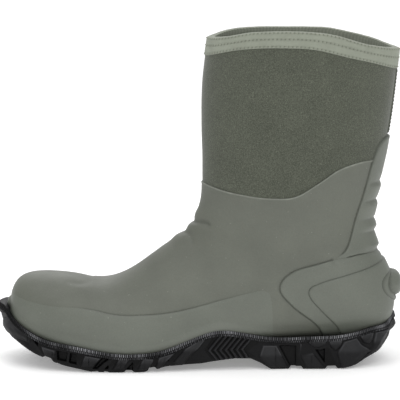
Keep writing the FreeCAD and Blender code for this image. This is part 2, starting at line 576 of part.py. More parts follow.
sk = body.newObject("Sketcher::SketchObject", "Shank_outline")
sk.AttachmentSupport = [(origin_plane(body, "XY_Plane"), "")]
sk.MapMode = "FlatFace"
sl, sw = cell("shank_length") / 2, cell("shank_width") / 2
pts = [V(-sl, -sw * 0.72, 0), V(sl, -sw, 0), V(sl, sw, 0), V(-sl, sw * 0.72, 0)]
ids = [sk.addGeometry(Part.LineSegment(pts[i], pts[(i + 1) % 4]), False) for i in range(4)]
for i in range(4):
    sk.addConstraint(Sketcher.Constraint("Coincident", ids[i], 2, ids[(i + 1) % 4], 1))
sk.addConstraint(Sketcher.Constraint("Symmetric", ids[1], 1, ids[1], 2, -1))
sk.addConstraint(Sketcher.Constraint("Symmetric", ids[3], 1, ids[3], 2, -1))
c = sk.addConstraint(Sketcher.Constraint("DistanceY", ids[1], 1, ids[1], 2, 2 * sw))
sk.setExpression("Constraints[%d]" % c, "Dimensions.shank_width")
c = sk.addConstraint(Sketcher.Constraint("DistanceY", ids[3], 2, ids[3], 1, 2 * sw * 0.72))
sk.setExpression("Constraints[%d]" % c, "0.72 * Dimensions.shank_width")
c = sk.addConstraint(Sketcher.Constraint("DistanceX", -1, 1, ids[1], 1, sl))
sk.setExpression("Constraints[%d]" % c, "Dimensions.shank_length / 2")
c = sk.addConstraint(Sketcher.Constraint("DistanceX", ids[3], 1, -1, 1, sl))
sk.setExpression("Constraints[%d]" % c, "Dimensions.shank_length / 2")
pad = body.newObject("PartDesign::Pad", "Shank_pad")
pad.Profile = sk
pad.setExpression("Length", "Dimensions.shank_thickness")
doc.recompute()
sk2 = body.newObject("Sketcher::SketchObject", "Shank_rib_outline")
sk2.AttachmentSupport = [(origin_plane(body, "XY_Plane"), "")]
sk2.MapMode = "FlatFace"
rw = cell("shank_rib_width") / 2
pts = [V(-sl + 14, -rw, 0), V(sl - 14, -rw, 0), V(sl - 14, rw, 0), V(-sl + 14, rw, 0)]
ids = [sk2.addGeometry(Part.LineSegment(pts[i], pts[(i + 1) % 4]), False) for i in range(4)]
for i in range(4):
    sk2.addConstraint(Sketcher.Constraint("Coincident", ids[i], 2, ids[(i + 1) % 4], 1))
for i in (0, 2):
    sk2.addConstraint(Sketcher.Constraint("Horizontal", ids[i]))
for i in (1, 3):
    sk2.addConstraint(Sketcher.Constraint("Vertical", ids[i]))
c = sk2.addConstraint(Sketcher.Constraint("DistanceY", ids[1], 1, ids[1], 2, 2 * rw))
sk2.setExpression("Constraints[%d]" % c, "Dimensions.shank_rib_width")
sk2.addConstraint(Sketcher.Constraint("Symmetric", ids[0], 1, ids[2], 1, -1, 1))
pad2 = body.newObject("PartDesign::Pad", "Shank_rib")
pad2.Profile = sk2
pad2.setExpression("Length", "2 * Dimensions.shank_thickness")
doc.recompute()
edges = ["Edge%d" % (i + 1) for i, e in enumerate(pad2.Shape.Edges)
         if abs(e.tangentAt(e.FirstParameter).z) > 0.99 and abs(abs(e.CenterOfMass.x) - sl) < 0.5]
fil = body.newObject("PartDesign::Fillet", "Shank_corners")
fil.Base = (pad2, edges)
fil.Radius = 6.0
body.Tip = fil
tilt = cell("shank_tilt")
SHX, SHZ = 24.0, 16.1
body.Placement = FreeCAD.Placement(V(SHX - X0, -Y0, SHZ), FreeCAD.Rotation(V(0, 1, 0), -tilt))
node(cut("Shank_trimmed", body, L_LAP0), "steel_shank")
doc.recompute()
pocket = doc.addObject("Part::Box", "Shank_pocket")
pocket.setExpression("Length", "Dimensions.shank_length + 1.5")
pocket.setExpression("Width", "Dimensions.shank_width + 1.5")
pocket.Height = 30
rot = FreeCAD.Rotation(V(0, 1, 0), -tilt)
pocket.Placement = FreeCAD.Placement(V(SHX - X0, -Y0, SHZ) + rot.multVec(V(-sl - 0.75, -sw - 0.75, -0.3)), rot)
node(cut("Midsole", mid_block, pocket), "midsole")

# ---------------------------------------------------------------- outsole: a lugged cup
OUT_PLAN = [(-161.0, 0, 0), (-159.2, 10, 9), (-154.0, 22.5, 20), (-146.0, 33.5, 29.5), (-135.0, 42.5, 37.5), (-122.0, 48.8, 44.5), (-105.0, 53.5, 50.5),
            (-85.0, 56.3, 56.0), (-65.0, 57.4, 59.3), (-45.0, 56.6, 61.1), (-25.0, 53.8, 60.8), (-5.0, 50.6, 58.2), (15.0, 48.0, 54.6),
            (35.0, 46.3, 51.0), (55.0, 45.2, 48.4), (75.0, 44.8, 46.6), (95.0, 44.4, 45.2), (115.0, 42.4, 42.9), (130.0, 38.2, 38.4),
            (142.0, 31.0, 31.0), (151.0, 21.5, 21.5), (157.0, 10.0, 10.0), (159.0, 0, 0)]
GROUND = [(-161.2, 44.0), (-160.8, 36.0), (-157.8, 28.5), (-151.0, 22.0), (-142.0, 17.4), (-131.0, 12.2), (-120.0, 8.0), (-106.0, 4.2), (-92.0, 1.4), (-84.0, 0.0)]
side_pts = [("curve", GROUND),
            ("line", [(-84.0, 0.0), (-44.0, 0.0)]),
            ("curve", [(-44.0, 0.0), (-36.0, 1.6), (-26.0, 3.9), (-12.0, 4.9), (2.0, 5.6), (16.0, 7.6), (28.0, 8.8), (40.0, 8.6), (48.0, 5.0), (56.0, 0.0)]),
            ("line", [(56.0, 0.0), (114.0, 0.0)]),
            ("curve", [(114.0, 0.0), (124.0, 2.2), (131.0, 6.4), (139.0, 9.8), (147.0, 13.6), (154.0, 20.0), (158.2, 27.5), (159.2, 32.5), (158.6, 38.6)]),
            ("curve", [(158.6, 38.6)] + RIM[1:-1][::-1][1:-1] + [(-161.2, 44.0)])]
sole_side = prism("Outsole_side", side_pts)
out_pts = [(x, -a) for x, a, b in OUT_PLAN] + [(x, b) for x, a, b in OUT_PLAN[::-1][1:-1]] + [(OUT_PLAN[0][0], 0.0)]
out_sketch = sketch("Outsole_plan", [("curve", out_pts)], "plan")
sole_up = doc.addObject("Part::Extrusion", "Outsole_up")
sole_up.Base, sole_up.DirMode, sole_up.Solid, sole_up.LengthFwd = out_sketch, "Normal", True, 120
sole_block = common("Outsole_block", sole_side, sole_up)
cup = cut("Outsole_cup", sole_block, L_LAP0)
mid_room = doc.addObject("Part::Extrusion", "Midsole_room_up")
room_side = prism("Midsole_room", between(raised(mid_low, -0.25), raised(mid_low, 22.0)))
mid_room.Base, mid_room.DirMode, mid_room.Solid, mid_room.LengthFwd = sketch("Midsole_room_plan", [("curve", [(x + (-0.4 if x < 0 else 0.4), -a * 1.012 - (0.3 if a else 0)) for x, a, b in MID_OUT] + [(x + (-0.4 if x < 0 else 0.4), b * 1.012 + 0.3) for x, a, b in MID_OUT[::-1][1:-1]] + [(MID_OUT[0][0] - 0.4, 0.0)])], "plan"), "Normal", True, 120
cup2 = cut("Outsole_pocketed", cup, common("Midsole_space", room_side, mid_room))
grooves = []


def groove(label, x, angle, depth, length=150.0, y=0.0):
    b = doc.addObject("Part::Box", label)
    b.setExpression("Width", "Dimensions.groove_width")
    b.Length = length
    b.Height = 10
    w = cell("groove_width")
    r = FreeCAD.Rotation(V(0, 0, 1), angle)
    b.Placement = FreeCAD.Placement(V(x - X0, y - Y0, depth - 10) + r.multVec(V(0, -w / 2, 0)), r)
    grooves.append(b)


gd, hd = cell("groove_depth"), cell("heel_groove_depth")
for j, x in enumerate((-99.0, -79.0, -59.0, -39.0)):
    groove("Groove_in_%d" % j, x + 1.0, -90.0 - 16.0, gd)
    groove("Groove_out_%d" % j, x + 1.0, 90.0 + 16.0, gd)
for j, x in enumerate((70.0, 90.0, 110.0)):
    groove("Heel_groove_in_%d" % j, x, -90.0 + 16.0, hd)
    groove("Heel_groove_out_%d" % j, x, 90.0 - 16.0, hd)

# arch insert: a pad let into the underside at the waist, not quite down to the ground
PAD_PLAN = [(-12.0, 0.0), (-11.0, -16.0), (-6.0, -26.0), (6.0, -30.0), (20.0, -30.0), (34.0, -29.0), (43.0, -25.0), (46.0, -16.0), (46.5, 0.0),
            (46.0, 18.0), (43.0, 28.0), (34.0, 33.0), (20.0, 35.0), (6.0, 35.0), (-6.0, 31.0), (-11.0, 19.0)]


def pad_block(label, grow, low, high):
    pts = [(17.0 + (x - 17.0) * (1 + grow / 29.0), 2.0 + (y - 2.0) * (1 + grow / 31.0)) for x, y in PAD_PLAN]
    ex = doc.addObject("Part::Extrusion", label)
    ex.Base, ex.DirMode, ex.Solid, ex.LengthFwd = sketch(label + "_plan", [("curve", pts + [pts[0]])], "plan"), "Normal", True, high - low
    ex.Base.Placement.Base.z = low
    return ex


node(pad_block("Arch_insert", 0.0, 1.4, 8.8), "arch_insert")
node(cut("Outsole", cut("Outsole_arch", cup2, pad_block("Arch_room", 0.2, -5.0, 9.0)), fuse("Grooves", grooves)), "outsole")

# ---------------------------------------------------------------- heel spur for kicking the boot off
spur_body = doc.addObject("PartDesign::Body", "Spur_blank")
ss = spur_body.newObject("Sketcher::SketchObject", "Spur_profile")
ss.AttachmentSupport = [(origin_plane(spur_body, "XZ_Plane"), "")]
ss.MapMode = "FlatFace"
spur_pts = [V(130, 47, 0), V(157.6, 47, 0), V(158.4, 50, 0), V(158.2, 66, 0), V(155.4, 74, 0), V(130, 74, 0)]
spur_pts = [V(p.x - X0, p.y, 0) for p in spur_pts]
for i in range(len(spur_pts)):
    ss.addGeometry(Part.LineSegment(spur_pts[i], spur_pts[(i + 1) % len(spur_pts)]), False)
sp = spur_body.newObject("PartDesign::Pad", "Spur_plate")
sp.Profile = ss
sp.Midplane = True
sp.setExpression("Length", "Dimensions.spur_width")
doc.recompute()
sl2 = spur_body.newObject("Sketcher::SketchObject", "Spur_lug_profile")
sl2.AttachmentSupport = [(origin_plane(spur_body, "XZ_Plane"), "")]
sl2.MapMode = "FlatFace"
lug_pts = [V(150, 50, 0), V(158.6, 50, 0), V(160.9, 53, 0), V(161.3, 59, 0), V(160.6, 65, 0), V(158.2, 70.5, 0), V(150, 70.5, 0)]
lug_pts = [V(p.x - X0, p.y, 0) for p in lug_pts]
for i in range(len(lug_pts)):
    sl2.addGeometry(Part.LineSegment(lug_pts[i], lug_pts[(i + 1) % len(lug_pts)]), False)
sp2 = spur_body.newObject("PartDesign::Pad", "Spur_lug")
sp2.Profile = sl2
sp2.Midplane = True
sp2.setExpression("Length", "Dimensions.spur_lug_width")
spur_body.Tip = sp2
spur_body.Placement = FreeCAD.Placement(V(0, -Y0, 0), FreeCAD.Rotation())
L_SPUR = last_solid("Last_spur_inner", insets(-0.45 - OVER - CUP, -0.45 - OVER - CUP, -0.45 - OVER - CUP))
node(cut("Spur", spur_body, L_SPUR), "heel_spur")

# ---------------------------------------------------------------- recompute, test and write
doc.recompute()
bad = [o.Name for o in doc.Objects if "Invalid" in o.State or "Error" in o.State]
if bad:
    raise RuntimeError("features that failed: %s" % bad)
os.makedirs("parts", exist_ok=True)
for old in os.listdir("parts"):
    if old.endswith(".step"):
        os.remove(os.path.join("parts", old))
lo, hi = V(1e9, 1e9, 1e9), V(-1e9, -1e9, -1e9)
faulty = []
for o in NODES:
    shape = o.Shape
    if shape.isNull() or not shape.isValid() or not shape.Solids or any(s.Volume <= 0 for s in shape.Solids):
        print("%-24s FAULTY" % o.Label)
        faulty.append(o.Label)
        continue
    for p in shape.tessellate(0.3)[0]:
        lo = V(min(lo.x, p.x), min(lo.y, p.y), min(lo.z, p.z))
        hi = V(max(hi.x, p.x), max(hi.y, p.y), max(hi.z, p.z))
    print("%-24s solids %d  volume %9.1f mm3  faces %d" % (o.Label, len(shape.Solids), shape.Volume, len(shape.Faces)))
    if len(shape.Solids) == 1:
        shape = shape.Solids[0]
    else:
        shape = Part.Compound(shape.Solids)
    shape.exportStep(os.path.join("parts", o.Label + ".step"))
if faulty:
    raise RuntimeError("faulty shapes: %s" % faulty)
print("box", [round(v, 2) for v in (lo.x, lo.y, lo.z, hi.x, hi.y, hi.z)])
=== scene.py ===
import math

import bpy
import numpy as np
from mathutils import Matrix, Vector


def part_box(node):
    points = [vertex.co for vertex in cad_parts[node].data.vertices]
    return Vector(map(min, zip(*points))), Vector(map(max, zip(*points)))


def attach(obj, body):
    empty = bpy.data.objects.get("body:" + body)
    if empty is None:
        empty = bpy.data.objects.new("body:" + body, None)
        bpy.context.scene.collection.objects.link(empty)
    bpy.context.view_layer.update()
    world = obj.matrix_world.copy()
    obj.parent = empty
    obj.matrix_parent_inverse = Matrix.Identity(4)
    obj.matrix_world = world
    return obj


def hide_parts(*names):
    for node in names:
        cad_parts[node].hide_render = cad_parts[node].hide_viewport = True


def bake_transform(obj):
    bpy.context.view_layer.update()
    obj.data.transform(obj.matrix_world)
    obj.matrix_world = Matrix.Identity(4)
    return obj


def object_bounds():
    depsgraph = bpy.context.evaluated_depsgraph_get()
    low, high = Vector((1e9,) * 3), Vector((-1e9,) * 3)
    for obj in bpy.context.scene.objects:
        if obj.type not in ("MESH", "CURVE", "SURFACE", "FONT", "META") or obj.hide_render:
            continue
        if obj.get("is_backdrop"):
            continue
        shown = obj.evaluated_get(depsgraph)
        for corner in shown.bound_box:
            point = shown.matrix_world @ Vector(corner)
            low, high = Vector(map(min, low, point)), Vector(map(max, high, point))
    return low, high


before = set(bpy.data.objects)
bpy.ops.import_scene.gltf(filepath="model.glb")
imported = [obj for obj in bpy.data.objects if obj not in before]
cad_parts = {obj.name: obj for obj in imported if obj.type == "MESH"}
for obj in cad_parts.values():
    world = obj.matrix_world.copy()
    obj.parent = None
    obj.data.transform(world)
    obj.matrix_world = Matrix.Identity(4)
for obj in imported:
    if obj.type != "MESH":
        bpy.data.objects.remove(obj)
CAD_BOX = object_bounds()

# ------------------------------------------------------------------ the boot's own surface, in millimetres
X0, Y0 = 0.15, 1.93
STATIONS = [
    (-151.81, 51.34, -151.65, 40.83, 8.88, 8.36, 0.5, 2.0, 2.0),
    (-150.66, 57.13, -150.47, 35.78, 18.23, 16.19, 0.56, 2.1, 2.2),
    (-147.46, 63.26, -147.01, 31.24, 25.94, 22.89, 0.6, 2.2, 2.6),
    (-141.49, 67.92, -140.0, 27.0, 33.23, 29.2, 0.64, 2.3, 3.2),
    (-130.91, 70.4, -128.0, 22.6, 40.09, 36.1, 0.68, 2.3, 4.0),
    (-115.08, 70.1, -111.0, 17.4, 45.53, 42.55, 0.71, 2.3, 4.6),
    (-98.21, 68.22, -93.0, 13.0, 49.01, 47.53, 0.72, 2.2, 5.0),
    (-82.06, 65.8, -74.0, 10.4, 51.2, 51.71, 0.72, 2.1, 5.0),
    (-68.0, 67.5, -55.0, 9.7, 51.9, 54.4, 0.73, 2.0, 5.0),
    (-54.0, 74.0, -35.0, 11.2, 50.41, 55.4, 0.74, 2.0, 5.0),
    (-41.0, 83.0, -13.0, 15.0, 46.91, 53.91, 0.75, 2.0, 5.0),
    (-29.0, 92.0, 11.0, 19.0, 43.41, 50.41, 0.74, 2.0, 4.8),
    (-18.5, 100.2, 40.0, 21.6, 40.9, 46.41, 0.72, 2.0, 4.4),
    (-10.06, 106.79, 72.0, 22.5, 39.9, 42.91, 0.68, 2.0, 3.9),
    (-5.47, 113.21, 104.0, 23.53, 39.1, 40.6, 0.63, 2.0, 3.4),
    (-2.94, 118.79, 130.79, 25.65, 38.8, 39.3, 0.59, 2.0, 3.0),
    (-1.12, 124.34, 147.5, 32.61, 38.85, 39.05, 0.56, 2.0, 2.7),
    (0.09, 129.9, 153.43, 44.38, 39.1, 39.1, 0.54, 2.0, 2.5),
    (0.8, 135.95, 153.22, 57.73, 39.55, 39.55, 0.52, 2.0, 2.4),
    (0.9, 142.99, 150.43, 71.26, 40.0, 40.0, 0.51, 2.0, 2.3),
    (0.8, 151.0, 145.38, 82.71, 41.0, 41.0, 0.5, 2.0, 2.2),
    (0.8, 160.0, 140.55, 96.1, 42.0, 42.0, 0.5, 2.0, 2.1),
    (0.7, 170.0, 138.9, 111.98, 42.6, 42.6, 0.5, 2.0, 2.0),
    (0.4, 182.0, 140.02, 130.25, 43.5, 43.5, 0.5, 2.0, 2.0),
    (0.2, 196.0, 143.83, 150.35, 44.6, 44.6, 0.5, 2.0, 2.0),
    (0.4, 210.0, 148.51, 173.12, 45.6, 45.6, 0.5, 2.0, 2.0),
    (1.2, 225.0, 152.6, 199.0, 46.6, 46.6, 0.5, 2.0, 2.0),
    (2.8, 241.0, 155.7, 226.0, 47.4, 47.4, 0.5, 2.0, 2.0),
    (5.0, 256.0, 158.2, 250.0, 48.0, 48.0, 0.5, 2.0, 2.0),
    (7.2, 271.0, 160.4, 272.0, 48.4, 48.4, 0.5, 2.0, 2.0),
    (9.2, 284.0, 162.2, 290.0, 48.6, 48.6, 0.5, 2.0, 2.0),
]

LOW_FLEX = [(-70, 95.5), (-20, 95.5), (60, 89.5), (140, 82), (190, 79)]
SHELL_TOP = [(-60, 144.8), (0, 144.5), (9, 142.1), (19.5, 139.6), (34.2, 137.5), (47.7, 136), (60.2, 135.8), (69.5, 136.2),
             (77.9, 138.6), (88.4, 144.8), (97.8, 150.9), (107.2, 157.1), (116.9, 160.8), (127.7, 163.3), (136.6, 163.9), (190, 164.5)]
TOP_NEAR = [(-60, 250), (-10, 255.5), (5.5, 258.9), (8.1, 259.0), (19.2, 260.4), (27.2, 262.1), (39.2, 264.6), (51.2, 265.6), (67, 266.1),
            (83, 265.7), (97.2, 264.3), (107.4, 262.2), (117.6, 259.0), (128, 255.8), (138.5, 253.5), (149.4, 251.6), (158, 250.6), (190, 246)]
TOP_FAR = [(-60, 250), (-10, 255.5), (5.5, 258.7), (11.4, 260.1), (17.7, 261.7), (34.6, 263.8), (48.6, 264.1), (73, 263.8), (95, 263.6),
           (106.4, 262.8), (117.9, 260.6), (133.2, 257.4), (143.2, 254.6), (153, 251.4), (158, 250.4), (190, 246)]
BAND_LOW = [(-60, 232), (-10, 241.5), (3.6, 244.6), (19.5, 249.1), (31, 251.5), (47.9, 253.3), (69.4, 253.7), (84.8, 253), (96.4, 251),
            (108.2, 247.9), (120, 244.9), (132.1, 241.9), (150.7, 236.2), (190, 226)]
RIM = [(-175, 48), (-160, 47), (-155, 46.0), (-152, 42.8), (-147, 38.2), (-141, 33.9), (-133, 29.2), (-126, 26.0), (-102, 21.2), (-80, 17.2),
       (-62, 14.8), (-49, 14.8), (-30, 17), (-16, 21.9), (-2.8, 27), (11, 31.2), (22, 31.6), (38.7, 28.8), (57.7, 26), (77.4, 26.1),
       (96.3, 26.7), (110.6, 27.4), (127.5, 30.3), (139, 32.5), (151.4, 34.6), (157, 38), (175, 42)]
GROUND = [(-161.2, 44), (-160.8, 36), (-157.8, 28.5), (-151, 22), (-142, 17.4), (-131, 12.2), (-120, 8), (-106, 4.2), (-92, 1.4),
          (-84, 0), (-44, 0), (-36, 1.6), (-26, 3.9), (-12, 4.9), (2, 5.6), (16, 7.6), (28, 8.8), (40, 8.6), (48, 5), (56, 0),
          (114, 0), (124, 2.2), (131, 6.4), (139, 9.8), (147, 13.6), (154, 20), (158.2, 27.5), (159.2, 32.5), (159.4, 38.6)]
OUT_PLAN = [(-161, 0, 0), (-159.2, 10, 9), (-154, 22.5, 20), (-146, 33.5, 29.5), (-135, 42.5, 37.5), (-122, 48.8, 44.5),
            (-105, 53.5, 50.5), (-85, 56.3, 56), (-65, 57.4, 59.3), (-45, 56.6, 61.1), (-25, 53.8, 60.8), (-5, 50.6, 58.2),
            (15, 48, 54.6), (35, 46.3, 51), (55, 45.2, 48.4), (75, 44.8, 46.6), (95, 44.4, 45.2), (115, 42.4, 42.9),
            (130, 38.2, 38.4), (142, 31, 31), (151, 21.5, 21.5), (157, 10, 10), (159, 0, 0)]
PANEL_FRONT = [(134.6, 157.2), (131.5, 144.5), (128.4, 133.8), (123.8, 120.7), (120.2, 108.4), (118.2, 101.4), (115.6, 95.2), (112.2, 91.1), (108.2, 88.5), (103.5, 86.8)]
PANEL_TOP = [(134.6, 157.2), (136.8, 163.9), (138.4, 168.2), (141.2, 174.6), (145.5, 179.6), (149, 181.4), (160, 182)]
PANEL_LOW = [(190, 90.2), (136, 90), (124, 89.6), (115.2, 88.6)]
V_OUT = [(103.2, 86.1), (100.2, 85.4), (94.8, 83.8), (83.7, 80.8), (75, 77.8), (67.3, 72.6), (63.5, 66.8),
         (63.5, 61.5), (68.5, 54.4), (77.4, 46), (87.4, 38.4), (94.3, 31.5), (101, 20)]
V_IN = [(190, 86), (150, 83.5), (141.2, 81.2), (131.8, 78.8), (121.5, 76.2), (110.4, 73.3), (99.3, 70.2), (90.4, 66.8),
        (86.6, 64.4), (85.3, 61), (86.6, 56.4), (91.8, 49.9), (99.6, 41.7), (107.7, 33.1), (116, 20)]
R_EDGE = [(-200, 58), (-170, 57.5), (-152, 56.6), (-143, 54.8), (-130.5, 52.2), (-118.3, 50.4), (-107, 49.6), (-98.2, 49.2), (-88, 48.0), (-81, 46.9), (-74.4, 45.4), (-63.3, 43.8), (-52.3, 43.7), (-38.1, 44.3), (-24.8, 45.4), (-13.8, 47.2), (-0.2, 50.2),
          (11, 53.2), (22, 56), (33.1, 58.8), (44.1, 61.4), (50, 62), (54, 60.5), (56, 56), (57, 45), (58, 15)]


def spline(xs, ys):
    """A natural cubic spline: a function that gives the value and the slope at an array of places."""
    xs, ys = np.asarray(xs, float), np.asarray(ys, float)
    n, h = len(xs), np.diff(xs)
    M, d = np.zeros((n, n)), np.zeros(n)
    M[0, 0] = M[-1, -1] = 1
    for i in range(1, n - 1):
        M[i, i - 1], M[i, i], M[i, i + 1] = h[i - 1], 2 * (h[i - 1] + h[i]), h[i]
        d[i] = 6 * ((ys[i + 1] - ys[i]) / h[i] - (ys[i] - ys[i - 1]) / h[i - 1])
    m = np.linalg.solve(M, d)

    def value(x):
        i = np.clip(np.searchsorted(xs, x, "right") - 1, 0, n - 2)
        t = x - xs[i]
        p, q = (m[i + 1] - m[i]) / (6 * h[i]), m[i] / 2
        r = (ys[i + 1] - ys[i]) / h[i] - h[i] * (2 * m[i] + m[i + 1]) / 6
        return ys[i] + t * (r + t * (q + t * p)), r + t * (2 * q + 3 * p * t)

    return value


def smooth_line(pts, step=1.5):
    """The points of a line through pts, rounded where it turns."""
    p = np.asarray(pts, float)
    along = np.concatenate([[0], np.cumsum(np.hypot(*np.diff(p, axis=0).T) ** 0.75)])
    n = max(8, int(along[-1] / step * 2.2))
    t = np.linspace(0, along[-1], n)
    return np.column_stack([spline(along, p[:, i])(t)[0] for i in range(p.shape[1])])


def level(line, x):
    a = np.asarray(line, float)
    return np.interp(x, a[:, 0], a[:, 1])


def smooth_level(line):
    a = np.asarray(line, float)
    f = spline(a[:, 0], a[:, 1])
    return lambda x: f(np.clip(x, a[0, 0], a[-1, 0]))[0]


def step01(v):
    v = np.clip(v, 0, 1)
    return v * v * (3 - 2 * v)


ALONG = [0.0]
for s0, s1 in zip(STATIONS, STATIONS[1:]):
    dt = math.hypot(s1[0] - s0[0], s1[1] - s0[1])
    db = math.hypot(s1[2] - s0[2], s1[3] - s0[3])
    ALONG.append(ALONG[-1] + math.sqrt(0.5 * (dt * dt + db * db)) + 0.35 * abs(s1[4] - s0[4]))
ALONG = np.array(ALONG)
CURVES = [spline(ALONG, [s[i] for s in STATIONS]) for i in range(9)]
NC = 132                                  # columns in each half of the loop


def sections(s, inset=None):
    """Points (rows, 2*NC, 3) round the boot at each s: front line, medial side, back line, lateral side."""
    v = np.array([c(s)[0] for c in CURVES])
    g = np.array([c(s)[1] for c in CURVES])
    T, B, W = v[0:2].copy(), v[2:4].copy(), v[4:6].copy()
    if inset is not None:
        st = np.interp(s, ALONG, np.arange(len(ALONG)))
        dt, dw, db = (np.interp(st, [a for a, _ in t], [b for _, b in t]) for t in inset)
        tl, bl = np.hypot(g[0], g[1]) + 1e-9, np.hypot(g[2], g[3]) + 1e-9
        run = np.hypot(0.5 * (g[0] + g[2]), 0.5 * (g[1] + g[3])) + 1e-6
        T[0] += g[1] / tl * dt
        T[1] -= g[0] / tl * dt
        B[0] -= g[3] / bl * db
        B[1] += g[2] / bl * db
        for i in (0, 1):
            W[i] = np.maximum(1.0, W[i] - dw / np.sqrt(1 + (g[4 + i] / run) ** 2))
    m, p1, p2 = v[6], v[7], v[8]
    q = np.linspace(0, math.pi / 2, 70)
    c, sn = np.abs(np.cos(q)), np.abs(np.sin(q))
    c[-1] = 0.0
    rows = []
    for k in range(len(s)):
        r1 = (c ** p1[k] + sn ** p1[k]) ** (-1 / p1[k])
        r2 = (c ** p2[k] + sn ** p2[k]) ** (-1 / p2[k])
        u = np.concatenate([m[k] - m[k] * c * r1, (m[k] + (1 - m[k]) * sn * r2)[1:]])
        w = np.concatenate([sn * r1, (c * r2)[1:]])
        px, pz = T[0, k] + u * (B[0, k] - T[0, k]), T[1, k] + u * (B[1, k] - T[1, k])
        halves = []
        for side in (0, 1):
            py = w * W[side, k] * (-1 if side == 0 else 1)
            d = np.concatenate([[0], np.cumsum(np.sqrt(np.diff(px) ** 2 + np.diff(py) ** 2 + np.diff(pz) ** 2))])
            t = np.linspace(0, d[-1], NC + 1)
            halves.append(np.column_stack([np.interp(t, d, a) for a in (px, py, pz)]))
        rows.append(np.concatenate([halves[0], halves[1][NC - 1:0:-1]]))
    return np.array(rows)


def grid_normals(G):
    Tr = np.gradient(G, axis=0)
    Tc = np.roll(G, -1, axis=1) - np.roll(G, 1, axis=1)
    N = np.cross(Tr, Tc)
    N /= np.linalg.norm(N, axis=2, keepdims=True) + 1e-12
    mid = G.mean(axis=1, keepdims=True)
    flip = np.sign(np.sum(N * (G - mid), axis=2).mean())
    N *= flip
    for _ in range(2):
        N = 0.5 * N + 0.25 * (np.roll(N, 1, axis=1) + np.roll(N, -1, axis=1))
    return N / (np.linalg.norm(N, axis=2, keepdims=True) + 1e-12)


class Rng:
    """Seeded lattice noise, the same every run."""

    def __init__(self, seed, n=4096):
        self.v = np.random.RandomState(seed).uniform(-1, 1, n)

    def __call__(self, P, size):
        q = P / size
        i = np.floor(q).astype(int)
        f = q - i
        f = f * f * (3 - 2 * f)
        out = 0
        for a in (0, 1):
            for b in (0, 1):
                for c in (0, 1):
                    h = ((i[:, 0] + a) * 73 + (i[:, 1] + b) * 157 + (i[:, 2] + c) * 331) % len(self.v)
                    w = (f[:, 0] if a else 1 - f[:, 0]) * (f[:, 1] if b else 1 - f[:, 1]) * (f[:, 2] if c else 1 - f[:, 2])
                    out = out + w * self.v[h]
        return out


NOISE = Rng(7)


# ------------------------------------------------------------------ distances to lines and outlines in the side view
def line_distance(x, z, pts, fade=None):
    """Distance to a line in the side view, and how far along it the nearest place is, from 0 to 1."""
    p = np.asarray(pts, float)
    best = np.full(x.shape, 1e9)
    where = np.zeros(x.shape)
    seg = np.hypot(*(p[1:] - p[:-1]).T)
    at = np.concatenate([[0], np.cumsum(seg)])
    for i in range(len(p) - 1):
        ax, az = p[i]
        dx, dz = p[i + 1] - p[i]
        L2 = dx * dx + dz * dz + 1e-12
        t = np.clip(((x - ax) * dx + (z - az) * dz) / L2, 0, 1)
        d = np.hypot(x - ax - t * dx, z - az - t * dz)
        near = d < best
        best[near] = d[near]
        where[near] = (at[i] + t[near] * seg[i]) / at[-1]
    return best, where


def inside(x, z, pts):
    p = np.asarray(pts, float)
    res = np.zeros(x.shape, bool)
    j = len(p) - 1
    for i in range(len(p)):
        xi, zi = p[i]
        xj, zj = p[j]
        if zi != zj:
            hit = ((zi > z) != (zj > z)) & (x < (xj - xi) * (z - zi) / (zj - zi) + xi)
            res ^= hit
        j = i
    return res


def signed(x, z, pts):
    """Distance to the outline pts, positive inside it."""
    closed = list(map(tuple, pts)) + [tuple(pts[0])]
    d, _ = line_distance(x, z, closed)
    return np.where(inside(x, z, pts), d, -d)


# ------------------------------------------------------------------ cutting a surface along a line, and giving it thickness
def split(A, F, f, tol=0.08):
    """Cuts the faces where f changes sign. A holds a row of values for each point, and F the faces by their number of corners."""
    f = np.where(np.abs(f) < tol, 0.0, f)
    extra, ef, cache, out = [], [], {}, {}
    n0 = len(A)

    def add(face):
        out.setdefault(len(face), []).append(face)

    for k, arr in F.items():
        arr = np.asarray(arr)
        if not len(arr):
            continue
        v = f[arr]
        cross = (v.max(1) > 0) & (v.min(1) < 0)
        out.setdefault(k, []).extend(map(tuple, arr[~cross]))
        for poly in arr[cross]:
            pos, neg = [], []
            for i in range(k):
                a, b = int(poly[i]), int(poly[(i + 1) % k])
                fa, fb = f[a], f[b]
                if fa >= 0:
                    pos.append(a)
                if fa <= 0:
                    neg.append(a)
                if fa * fb < 0:
                    key = (a, b) if a < b else (b, a)
                    if key not in cache:
                        t = fa / (fa - fb) if a < b else fb / (fb - fa)
                        cache[key] = n0 + len(extra)
                        extra.append(A[key[0]] * (1 - t) + A[key[1]] * t)
                        ef.append(0.0)
                    pos.append(cache[key])
                    neg.append(cache[key])
            for part in (pos, neg):
                if len(part) >= 3:
                    add(tuple(part))
    if extra:
        A = np.vstack([A, np.array(extra)])
        f = np.concatenate([f, np.zeros(len(ef))])
    return A, {k: np.array(v) for k, v in out.items() if len(v)}, f


def keep(A, F, f):
    """Only the faces where f isn't negative."""
    out = {}
    for k, arr in F.items():
        ok = (f[arr].min(1) >= 0) & (f[arr].max(1) > 0)
        if ok.any():
            out[k] = arr[ok]
    used = np.unique(np.concatenate([v.ravel() for v in out.values()]))
    back = np.full(len(A), -1)
    back[used] = np.arange(len(used))
    return A[used], {k: back[v] for k, v in out.items()}, f[used]


def boundary(F):
    edges = {}
    for k, arr in F.items():
        for i in range(k):
            for a, b in zip(arr[:, i].tolist(), arr[:, (i + 1) % k].tolist()):
                if (b, a) in edges:
                    del edges[(b, a)]
                else:
                    edges[(a, b)] = 1
    return list(edges)


def faces_of(F):
    return [tuple(int(i) for i in f) for arr in F.values() for f in arr]


